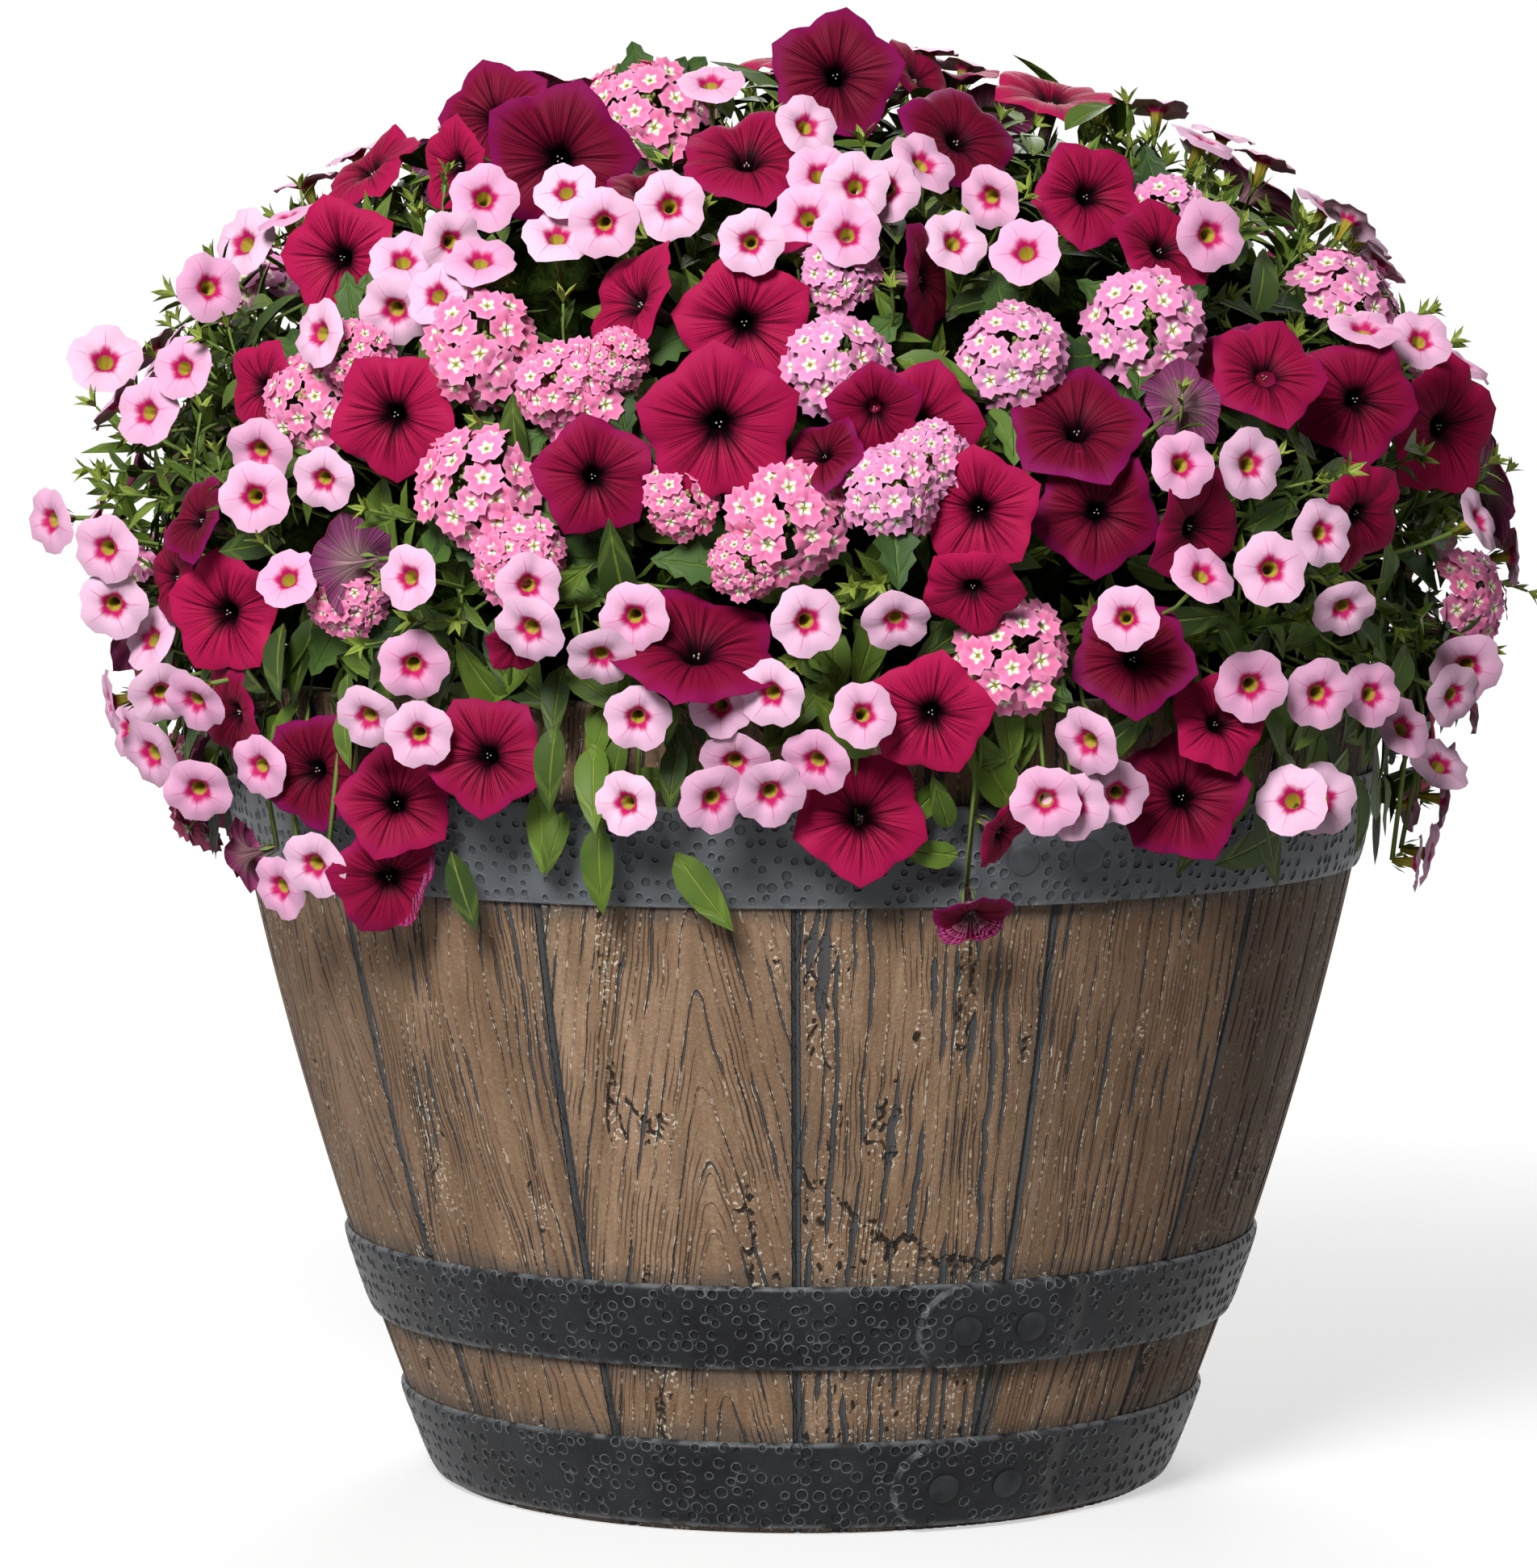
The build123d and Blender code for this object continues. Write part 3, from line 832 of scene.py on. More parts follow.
for column, row, pixels, right, upward in PETUNIAS:
    point = seen_point(column, row, draw.uniform(0.93, 0.97))
    add_blossom("petunia", point, turned_from_eye(point, right, upward), seen_size(point, pixels))
for column, row in CALIBRACHOAS:
    point = seen_point(column, row, draw.uniform(0.97, 1.02))
    outward = mound_normal(point)
    facing = 0.8 * turned_from_eye(point, 0, 0) + 0.5 * outward + draw.normal(0, 0.34, 3)
    pixels = draw.uniform(*CALIBRACHOA_PIXELS)
    add_blossom("calibrachoa", point, facing, seen_size(point, pixels))
for column, row, pixels in VERBENAS:
    point = seen_point(column, row, draw.uniform(0.95, 0.99))
    outward = mound_normal(point)
    facing = 0.8 * turned_from_eye(point, 0, 10) + 0.4 * outward + draw.normal(0, 0.1, 3)
    tone = WARM_TONE if column < AXIS_COLUMN or row > WARM_FROM_ROW else COOL_TONE
    add_blossom("verbena", point, facing, seen_size(point, pixels), tone)
print("blossoms placed from the picture:", len(blossoms))

# %% [markdown]
# Where the picture shows nothing, places are drawn at random, and one that is too near to
# another blossom is dropped.

# %% Strew the sides and the back
UNSEEN_FROM = math.radians(66)
# for each kind: how many, how wide, and how far out on the mound
KINDS_BEHIND = (("petunia", 62, 0.056, 0.96), ("verbena", 24, 0.055, 0.965),
                ("calibrachoa", 110, 0.029, 0.99))
TRIES_EACH = 40
SPACING = 0.40
for kind, wanted, width, share in KINDS_BEHIND:
    made = 0
    for _ in range(wanted * TRIES_EACH):
        azimuth = draw.uniform(UNSEEN_FROM, FULL_TURN - UNSEEN_FROM)
        height = MOUND_MIDDLE + MOUND_RISE * 0.97 * draw.uniform(-0.62, 1)
        point = mound_point(azimuth, height, share * draw.uniform(0.98, 1.01))
        gap = min(np.linalg.norm(point - other["point"]) - SPACING * (width + other["width"])
                  for other in blossoms)
        if gap < 0:
            continue
        facing = mound_normal(point) + UP * 0.25 + draw.normal(0, 0.2, 3)
        add_blossom(kind, point, facing, width * draw.uniform(0.88, 1.06))
        made += 1
        if made == wanted:
            break
    print(kind, "strewn behind:", made)

# %% [markdown]
# Each blossom gets what holds it: green sepals at the foot of its tube, and a stem that runs
# back into the mound. A verbena head is some twenty small flowers on a dome, spread by the golden
# angle as nature does, with buds in the middle.

# %% Plant the blossoms
GOLDEN_ANGLE = math.pi * (3 - math.sqrt(5))
HEART = np.array([0, 0, 0.40])
OVER_RIM = 0.366
WALL_REACH = 0.272
FACE_GAP = 7 * MM
TOUCHING = 0.36
# a stem that starts below the rim goes up outside the wall and over it: radius, height above
CLIMB_RADIUS = 0.274
OVER_THE_WALL = ((0.270, 0), (0.245, 0.008), (0.205, 0))


def part_neighbours():
    """Move blossoms that cut into each other apart, one in front of the other."""
    for before, first in enumerate(blossoms):
        for second in blossoms[before + 1:]:
            gap = second["point"] - first["point"]
            if np.linalg.norm(gap) > TOUCHING * (first["width"] + second["width"]):
                continue
            facing = first["facing"] + second["facing"]
            facing = facing / max(np.linalg.norm(facing), 1e-6)
            ahead = float(gap @ facing)
            push = max(FACE_GAP - abs(ahead), 0) / 2 * (1 if ahead >= 0 else -1)
            first["point"] = first["point"] - facing * push
            second["point"] = second["point"] + facing * push


for attempt in range(2):
    part_neighbours()


def stem_to_heart(start, heading, length, clump):
    """Stem from behind a blossom, bending back into the mound."""
    inward = HEART - start
    inward /= np.linalg.norm(inward)
    path = [start + heading * length * t * (1 - t) + (inward * length + UP * -0.01) * t * t
            for t in np.linspace(0, 1, 5)]
    if start[2] < OVER_RIM:
        outward = np.array([start[0], start[1], 0]) / math.hypot(start[0], start[1])
        path = [start, outward * CLIMB_RADIUS + UP * (start[2] + OVER_RIM) / 2]
        path += [outward * radius + UP * (OVER_RIM + above) for radius, above in OVER_THE_WALL]
    place_stem(path, 1.1 * MM, 0.5, clump)


def place_sepals(foot, back, size, count, splay, clump, girth):
    """Ring of sepals round the foot of a flower, pointing towards its mouth."""
    frame = facing_frame(-back, draw.uniform(0, FULL_TURN))
    for side in range(count):
        spin = FULL_TURN * side / count
        outward = frame[:, 0] * math.cos(spin) + frame[:, 1] * math.sin(spin)
        along = frame[:, 2] + outward * splay
        turn = blade_frame(along, outward)
        origin = foot + outward * girth
        place_copy("leaves", sepal, turn * size, origin, draw.uniform(), STEM_PAINT, clump)


HEAD_FLOWERS = 23
HEAD_BUDS = 7
HEAD_RADIUS = 21 * MM
HEAD_WIDTH = 53 * MM
DOME_FLATNESS = 0.82


def place_verbena(blossom, clump):
    """Dome of small flowers round a middle of buds."""
    size = blossom["width"] / HEAD_WIDTH
    frame = facing_frame(blossom["facing"], blossom["roll"])
    middle = blossom["point"] - blossom["facing"] * HEAD_RADIUS * 0.7 * size
    for number in range(HEAD_FLOWERS):
        share = (number + 1) / HEAD_FLOWERS
        polar = math.radians(6 + 90 * share ** 0.62)
        spin = number * GOLDEN_ANGLE + draw.normal(0, 0.1)
        outward = frame @ np.array([math.sin(polar) * math.cos(spin),
                                    math.sin(polar) * math.sin(spin),
                                    math.cos(polar) * DOME_FLATNESS])
        reach = HEAD_RADIUS * size * draw.uniform(0.93, 1.07)
        facing = outward + blossom["facing"] * 0.55 + draw.normal(0, 0.13, 3)
        turn = facing_frame(facing, draw.uniform(0, FULL_TURN)) * size * draw.uniform(1.05, 1.25)
        tone = np.clip(blossom["tone"] + draw.normal(0, 0.12), 0, 1)
        origin = middle + outward * reach
        place_copy("verbenas", verbena_flower, turn, origin, tone, None, clump)
        foot = origin - facing / np.linalg.norm(facing) * 0.8 * MM
        place_stem([middle + outward * reach * 0.25, foot], 0.7 * MM, 0.8, clump)
    for number in range(HEAD_BUDS):
        spin = number * GOLDEN_ANGLE
        aside = 0.07 * math.sqrt(number)
        outward = frame @ np.array([aside * math.cos(spin), aside * math.sin(spin), 1])
        place_copy("leaves", bud, facing_frame(outward, 0) * 1.2 * size,
                   middle + outward * HEAD_RADIUS * 0.72 * size, 0.5, BUD_PAINT, clump)


TUBE_FOOT = {"petunia": 31 * MM, "calibrachoa": 13 * MM}
FACE_WIDTH = {"petunia": 60 * MM, "calibrachoa": 28 * MM}
STAMENS = 3
STAMEN_SIZE = 0.45
STAMEN_ASIDE = 1.1 * MM
STAMEN_DEPTH = 6.5 * MM
for blossom in blossoms:
    clump = clump_of(blossom["point"])
    facing = blossom["facing"]
    kind = blossom["kind"]
    if kind == "verbena":
        place_verbena(blossom, clump)
        foot = blossom["point"] - facing * 16 * MM
        stem_to_heart(foot, -facing, 70 * MM, clump)
        continue
    size = blossom["width"] / FACE_WIDTH[kind]
    shape = (petunias if kind == "petunia" else calibrachoas)[blossom["variant"]]
    turn = facing_frame(facing, blossom["roll"]) * size
    place_copy(kind + "s", shape, turn, blossom["point"], blossom["tone"], None, clump)
    foot = blossom["point"] - facing * TUBE_FOOT[kind] * size
    if kind == "petunia":
        place_sepals(foot, -facing, 1.25 * size, 5, 0.25, clump, 2.9 * size * MM)
        for number in range(STAMENS):
            spin = number * FULL_TURN / STAMENS + blossom["roll"]
            speck = turn @ np.array([STAMEN_ASIDE * math.cos(spin), STAMEN_ASIDE * math.sin(spin),
                                     -STAMEN_DEPTH])
            place_copy("leaves", bud, turn * STAMEN_SIZE, blossom["point"] + speck, 0.5,
                       STAMEN_PAINT, clump)
    else:
        place_sepals(foot, -facing, 0.75 * size, 5, 0.45, clump, 2.0 * size * MM)
    stem_to_heart(foot, -facing, 60 * MM, clump)
print("copies so far:", {kind: sum(map(len, rows)) for kind, rows in bins.items()})

# %% [markdown]
# The green between the blossoms is what makes the mound look grown. Calibrachoa shoots carry
# narrow leaves in a spiral and end in a pale tuft; petunias add broad leaves and verbenas saw-edged
# ones. A leaf that would cover a blossom's face is left out, as a gardener's eye expects the
# flowers to be on the outside.

# %% Shoots and leaves
blossom_points = np.array([blossom["point"] for blossom in blossoms])
blossom_facings = np.array([blossom["facing"] for blossom in blossoms])
blossom_radii = np.array([blossom["width"] for blossom in blossoms]) / 2
KEPT_BEHIND = 5 * MM
KEPT_AHEAD = 90 * MM
THROAT_DEPTH = 24 * MM
THROAT_SHARE = 0.5
SHORTEST_SHOOT = 12 * MM
LEAF_SPACING = 5.2 * MM
TUFT_LEAVES = 5
CROWN_LOW = 0.51
CROWN_DEPTH = 0.06


def covers_blossom(point, margin=0.95):
    """Whether something at a point would lie in front of a blossom's face."""
    away = point - blossom_points
    ahead = (away * blossom_facings).sum(axis=1)
    aside = np.linalg.norm(away - ahead[:, None] * blossom_facings, axis=1)
    before_face = (aside < blossom_radii * margin) & (ahead > -KEPT_BEHIND) & (ahead < KEPT_AHEAD)
    in_throat = (aside < blossom_radii * THROAT_SHARE) & (ahead > -THROAT_DEPTH) & (ahead < 0)
    return bool((before_face | in_throat).any())


def place_leaf(shape, origin, along, upward, size, tone, paint, clump):
    """Put one leaf in its clump's bin, unless it would cover a blossom."""
    reach = along * shape["points"][:, 1].max() * size
    if covers_blossom(origin + reach * 0.5) or covers_blossom(origin + reach):
        return
    place_copy("leaves", shape, blade_frame(along, upward) * size, origin, tone, paint, clump)


def shoot_point(base, heading, lean, length, share):
    """Point of a bent shoot at a share of its length, or a column of points for a column."""
    return base + heading * length * share + lean * length * share ** 2 * 0.5


def grow_shoot(base, heading, length, size, limit):
    """Calibrachoa shoot: a bent stem, leaves in a spiral and a tuft at its tip."""
    clump = clump_of(base)
    heading = heading / np.linalg.norm(heading)
    lean = draw.normal(0, 0.25, 3) + UP * draw.uniform(-0.2, 0.45)
    steps = np.linspace(0, 1, 6)[:, None]
    path = shoot_point(base, heading, lean, length, steps)
    while mound_share(path[-1]) > limit and length > SHORTEST_SHOOT:
        length *= 0.88
        path = shoot_point(base, heading, lean, length, steps)
    hidden_by_wall = path[:, 2].min() < OVER_RIM and math.hypot(base[0], base[1]) < WALL_REACH
    if hidden_by_wall or covers_blossom(path[-1], 1.1):
        return
    place_stem(path, 0.9 * MM, draw.uniform(), clump)
    tone = draw.uniform()
    count = int(length / LEAF_SPACING)
    turn = draw.uniform(0, FULL_TURN)
    for number in range(count):
        share = 0.12 + 0.88 * number / count
        turn += GOLDEN_ANGLE
        at = shoot_point(base, heading, lean, length, share)
        ahead = heading + lean * share
        ahead /= np.linalg.norm(ahead)
        frame = facing_frame(ahead, turn)
        splay = math.radians(draw.uniform(48, 72) - 22 * share)
        along = frame[:, 2] * math.cos(splay) + frame[:, 0] * math.sin(splay)
        fullness = 0.55 + 0.6 * math.sin(math.pi * min(share + 0.15, 1))
        place_leaf(calibrachoa_leaf, at, along, frame[:, 2],
                   size * fullness * draw.uniform(0.85, 1.15), tone * 0.7 + 0.25 * share,
                   LEAF_PAINT, clump)
    for number in range(TUFT_LEAVES):
        frame = facing_frame(ahead, turn + number * GOLDEN_ANGLE)
        along = frame[:, 2] * 0.85 + frame[:, 0] * 0.5
        place_copy("leaves", calibrachoa_leaf, blade_frame(along, frame[:, 2]) * size * 0.5,
                   path[-1], 1.0, LEAF_PAINT, clump)


def mound_places(count, low, high, shares):
    """Places spread over the mound, with a random depth, evenly by area."""
    for number in range(count):
        level = low + (high - low) * (number + draw.uniform()) / count
        height = MOUND_MIDDLE + MOUND_RISE * level
        azimuth = number * GOLDEN_ANGLE + draw.normal(0, 0.1)
        yield mound_point(azimuth, height, draw.uniform(*shares))


def near_crown(height):
    """From 0 on the mound's flank to 1 on its crown, where shoots are kept short."""
    return min(max((height - CROWN_LOW) / CROWN_DEPTH, 0), 1)


SHOOTS = 760
for base in mound_places(SHOOTS, -0.5, 0.99, (0.74, 0.88)):
    outward = mound_normal(base)
    heading = outward + draw.normal(0, 0.5, 3) + UP * 0.1
    limit = draw.uniform(0.93, 1.03) - 0.17 * near_crown(base[2])
    grow_shoot(base, heading, draw.uniform(34, 60) * MM, draw.uniform(0.95, 1.3), limit)
print("leaves after the shoots:", sum(map(len, bins["leaves"])))

for blossom in blossoms:
    if blossom["kind"] != "calibrachoa":
        continue
    outward = mound_normal(blossom["point"])
    for number in range(2):
        base = blossom["point"] - blossom["facing"] * 22 * MM - outward * 20 * MM
        base = base + draw.normal(0, 7, 3) * MM
        if base[2] < OVER_RIM + 12 * MM:
            continue
        heading = outward * 0.8 + draw.normal(0, 0.55, 3) + UP * 0.15
        limit = draw.uniform(0.98, 1.06) - 0.15 * near_crown(base[2])
        grow_shoot(base, heading, draw.uniform(30, 58) * MM, draw.uniform(0.85, 1.15), limit)
print("leaves beside the calibrachoas:", sum(map(len, bins["leaves"])))

RIM_LEAVES = 420
RIM_LEAF_RADII = (0.262, 0.285)
RIM_LEAF_HEIGHTS = (0.340, 0.395)
for number in range(RIM_LEAVES):
    azimuth = FULL_TURN * (number + draw.uniform()) / RIM_LEAVES
    outward = towards(azimuth, 0)
    base = outward * draw.uniform(*RIM_LEAF_RADII) + UP * draw.uniform(*RIM_LEAF_HEIGHTS)
    sideways = np.cross(UP, outward) * draw.normal(0, 0.45)
    along = outward * draw.uniform(0.1, 0.5) - UP * draw.uniform(0.3, 0.9) + sideways
    place_leaf(petunia_leaf, base, along / np.linalg.norm(along), outward + UP * 0.4,
               draw.uniform(0.6, 1.05), draw.uniform(0, 0.75), LEAF_PAINT, clump_of(base))

BROAD_LEAVES = 1000
for base in mound_places(BROAD_LEAVES, -0.52, 0.98, (0.78, 0.93)):
    outward = mound_normal(base)
    flat = np.cross(outward, draw.normal(0, 1, 3))
    along = flat / np.linalg.norm(flat) + outward * draw.uniform(0.1, 0.9)
    along /= np.linalg.norm(along)
    place_leaf(petunia_leaf, base, along, outward, draw.uniform(0.7, 1.2),
               draw.uniform(0, 0.7), LEAF_PAINT, clump_of(base))

LEAVES_BY_A_HEAD = 7
for blossom in blossoms:
    if blossom["kind"] != "verbena":
        continue
    frame = facing_frame(blossom["facing"], 0)
    for _ in range(LEAVES_BY_A_HEAD):
        spin = draw.uniform(0, FULL_TURN)
        outward = frame[:, 0] * math.cos(spin) + frame[:, 1] * math.sin(spin)
        base = blossom["point"] - blossom["facing"] * draw.uniform(14, 30) * MM + outward * 8 * MM
        along = outward + blossom["facing"] * draw.uniform(-0.1, 0.4)
        place_leaf(verbena_leaf, base, along / np.linalg.norm(along), blossom["facing"],
                   draw.uniform(0.8, 1.2), draw.uniform(), VERBENA_LEAF_PAINT,
                   clump_of(blossom["point"]))
print("leaves in all:", sum(map(len, bins["leaves"])))

# %% [markdown]
# Petal finishes read the map named petal: its middle is the flower's eye and its circle the
# petal's rim. The distance from the middle gives the rings, and the direction gives the veins,
# because noise that is read along a direction alone makes rays.

# %% Petal map
def petal_place(start):
    """Distance from the flower's eye, direction from it, and the angle."""
    centred = start.node("ShaderNodeMapping", None, {
        "Vector": start.node("ShaderNodeUVMap", {"uv_map": "petal"}),
        "Location": (-1, -1, 0), "Scale": (2, 2, 1)})
    ray = centred.vector("NORMALIZE", {})
    angle = ray.axis(1).math("ARCTAN2", ray.axis(0))
    return centred.vector("LENGTH", {}, "Value"), ray, angle


print("petal map ready")

# %% [markdown]
# The petunia is velvet: crimson that turns purple at the rim, a throat that is nearly black, and
# dark rays that branch out of it. Its back is a dull purple with pale green veins.

# %% Petunia finishes
CRIMSON = (0.36, 0.006, 0.054)
DEEP_CRIMSON = (0.14, 0.002, 0.020)
PURPLE = (0.26, 0.006, 0.15)
THROAT = (0.006, 0.000, 0.002)
DARK_VEIN = (0.055, 0.001, 0.010)
PETUNIA_BACK = (0.26, 0.05, 0.17)
PALE_VEIN = (0.42, 0.36, 0.26)
BRIGHT_CRIMSON = (0.50, 0.012, 0.105)
BACK_ROSE = (0.42, 0.05, 0.20)
BACK_VEIN = (0.16, 0.02, 0.10)


def petunia_front(start):
    """Velvet face with dark rays out of a black throat."""
    length, ray, angle = petal_place(start)
    tone = start.attribute("tone")
    body = tone.rise(0.15, 0.95).mix(CRIMSON, DEEP_CRIMSON)
    blotch = ray.noise(2.3, 2)
    edge = length.rise(0.72, 1.04) * (tone * 0.7 + blotch * 0.9 - 0.62).clamped()
    body = edge.mix(body, PURPLE)
    body = (length.rise(0.35, 0.95) * (1 - tone) * 0.35).mix(body, BRIGHT_CRIMSON)
    rays = thin_line(ray.noise(9.0, 3, 0.6), 0.032) * length.rise(0.95, 0.30)
    midrib = (angle * 5).math("COSINE").rise(0.985, 1.0) * length.rise(1.0, 0.4)
    body = (rays * 0.62).mix(body, DARK_VEIN)
    body = (midrib * 0.70).mix(body, DARK_VEIN)
    star = length - (angle * 5).math("COSINE") * 0.03 + ray.noise(7.0, 2) * 0.20
    body = star.rise(0.56, 0.28).mix(body, DARK_VEIN)
    body = star.rise(0.36, 0.24).mix(body, THROAT)
    relief = (rays * -1 - midrib * 1.4 + blotch * 0.5).bump(0.8 * MM)
    return {"Base Color": body, "Normal": relief}


def petunia_back(start):
    """Dull purple back with pale veins near the tube."""
    length, ray, _ = petal_place(start)
    rays = thin_line(ray.noise(8.0, 3, 0.6), 0.09)
    near = length.rise(0.75, 0.15)
    body = start.attribute("tone").mix(PETUNIA_BACK, BACK_ROSE)
    body = (rays * 0.14 + near * 0.55).clamped().mix(body, PALE_VEIN)
    body = (rays * near * 0.6).mix(body, BACK_VEIN)
    return {"Base Color": body, "Normal": rays.bump(0.5 * MM)}


petunia_paints = [finish("petunia_velvet", petunia_front, roughness=0.62, specular_ior_level=0.08),
                  finish("petunia_back", petunia_back, roughness=0.7, specular_ior_level=0.08)]
print("petunia finishes:", [paint.name for paint in petunia_paints])

# %% [markdown]
# Calibrachoa petals are pale pink with a crimson star round an olive eye. Verbena flowers are
# salmon or lilac pink with a cream star.

# %% Calibrachoa and verbena finishes
PALE_PINK = (0.74, 0.34, 0.55)
WHITE_PINK = (0.80, 0.52, 0.68)
STAR = (0.47, 0.008, 0.110)
OLIVE_EYE = (0.38, 0.30, 0.035)
EYE_MIDDLE = (0.10, 0.06, 0.01)
ROSE_VEIN = (0.64, 0.10, 0.31)
SALMON = (0.84, 0.17, 0.36)
LILAC = (0.70, 0.28, 0.53)
PALE_RIM = (0.88, 0.46, 0.63)
CREAM = (0.88, 0.84, 0.66)
GREEN_EYE = (0.50, 0.52, 0.10)


def calibrachoa_petal(start):
    """Pale pink with a crimson star round an olive eye."""
    length, ray, angle = petal_place(start)
    body = start.attribute("tone").mix(PALE_PINK, WHITE_PINK)
    midrib = (angle * 5).math("COSINE")
    body = (length.rise(0.45, 1.0) * 0.30).mix(body, WHITE_PINK)
    line = midrib.rise(0.982, 1.0) * length.rise(1.0, 0.4)
    veins = thin_line(ray.noise(7.0, 2), 0.03) * length.rise(0.95, 0.35)
    body = (line * 0.65 + veins * 0.25).clamped().mix(body, ROSE_VEIN)
    reach = length - midrib * 0.035 - ray.noise(5.0, 2) * 0.12
    body = reach.rise(0.40, 0.22).mix(body, STAR)
    body = length.rise(0.24, 0.17).mix(body, OLIVE_EYE)
    body = (length.rise(0.12, 0.06) * 0.6).mix(body, EYE_MIDDLE)
    return {"Base Color": body, "Normal": (midrib * 0.5).bump(0.4 * MM)}


def verbena_petal(start):
    """Salmon or lilac with a cream star."""
    length, _, angle = petal_place(start)
    tone = start.attribute("tone")
    body = tone.mix(SALMON, LILAC)
    body = (length.rise(0.60, 1.0) * 0.35).mix(body, PALE_RIM)
    midrib = (angle * 5).math("COSINE")
    body = (length - midrib * 0.07).rise(0.40, 0.27).mix(body, CREAM)
    body = length.rise(0.17, 0.09).mix(body, GREEN_EYE)
    return {"Base Color": body, "Normal": midrib.bump(0.3 * MM)}


calibrachoa_paints = [finish("calibrachoa_petal", calibrachoa_petal,
                             roughness=0.6, specular_ior_level=0.1)]
verbena_paints = [finish("verbena_petal", verbena_petal, roughness=0.6, specular_ior_level=0.1)]
print("small flowers' finishes:", calibrachoa_paints[0].name, verbena_paints[0].name)

# %% [markdown]
# Leaves vary from a deep green inside the mound to a fresh yellow green at the tips. The map
# runs across the blade and along it, so the midrib is where it is half way across.

# %% Leaf and stem finishes
DEEP_GREEN = (0.022, 0.044, 0.006)
MID_GREEN = (0.095, 0.160, 0.018)
TIP_GREEN = (0.27, 0.34, 0.055)
VERBENA_GREENS = ((0.016, 0.040, 0.008), (0.050, 0.105, 0.018), (0.13, 0.21, 0.04))
STEM_GREEN = (0.20, 0.27, 0.07)
STAMEN_SHADE = (0.28, 0.26, 0.16)
STAMEN_CREAM = (0.60, 0.58, 0.44)
BUD_GREEN = (0.10, 0.16, 0.03)
BUD_YELLOW = (0.34, 0.36, 0.10)


def blade_finish(deep, mid, tip):
    """Recipe for a leaf in three greens."""
    def recipe(start):
        flat = start.node("ShaderNodeUVMap", {"uv_map": "petal"})
        across, along = flat.axis(0), flat.axis(1)
        tone = start.attribute("tone")
        place, _ = object_place(start)
        body = (tone + place.noise(60.0, 2) * 0.6 - 0.3).rise(0.0, 0.8).mix(deep, mid)
        body = (tone.rise(0.75, 1.0) * 0.8).mix(body, tip)
        side = (across - 0.5).math("ABSOLUTE")
        midrib = side.rise(0.07, 0.0)
        veins = (along * 9 + side * 5).math("SINE").rise(0.6, 1.0)
        body = (midrib * 0.45 + veins * 0.12).clamped().mix(body, tip)
        return {"Base Color": body, "Normal": (midrib * -1 - veins * 0.5).bump(0.5 * MM)}
    return recipe


def stem_finish(start):
    """Stems and sepals, each copy in its own green."""
    place, _ = object_place(start)
    shade = place.noise(90.0, 2) * 0.5 + start.attribute("tone") * 0.5
    return {"Base Color": shade.mix(MID_GREEN, STEM_GREEN)}


def speckled(scale, dark, light):
    """Recipe for something small in two colours."""
    def recipe(start):
        place, _ = object_place(start)
        return {"Base Color": place.noise(scale, 2).mix(dark, light)}
    return recipe


leaf_paints = [finish("leaf_green", blade_finish(DEEP_GREEN, MID_GREEN, TIP_GREEN),
                      roughness=0.5, specular_ior_level=0.2),
               finish("stem_green", stem_finish, roughness=0.6, specular_ior_level=0.2),
               finish("verbena_leaf_green", blade_finish(*VERBENA_GREENS),
                      roughness=0.55, specular_ior_level=0.2),
               finish("bud_green", speckled(300.0, BUD_GREEN, BUD_YELLOW),
                      roughness=0.6, specular_ior_level=0.2),
               finish("stamen_cream", speckled(500.0, STAMEN_SHADE, STAMEN_CREAM),
                      roughness=0.6, specular_ior_level=0.2)]
print("leaf finishes:", [paint.name for paint in leaf_paints])

# %% [markdown]
# The rim of the barrel is solid wood, so no leaf may cut into it. Below the rim's height every
# point of a plant is moved to the nearer side of the wall, outside it or inside it.

# %% Make one mesh for each clump and kind
WALL_TOP = 0.3585
WALL_OUTSIDE = 0.2635
WALL_INSIDE = 0.2285
BOX_REACH = 0.342
BOX_TOP = 0.655


def clear_of_wall(points):
    """Move one copy out of the barrel's wall, and keep it inside the planting's box."""
    across = np.hypot(points[:, 0], points[:, 1])
    wanted = np.minimum(across, BOX_REACH)
    low = points[:, 2] < WALL_TOP
    outside = across.mean() > (WALL_OUTSIDE + WALL_INSIDE) / 2
    wanted = np.where(low & outside, np.maximum(wanted, WALL_OUTSIDE), wanted)
    wanted = np.where(low & ~outside, np.minimum(wanted, WALL_INSIDE), wanted)
    points[:, :2] *= (wanted / np.maximum(across, 1e-6))[:, None]
    points[:, 2] = np.minimum(points[:, 2], BOX_TOP)
    return points


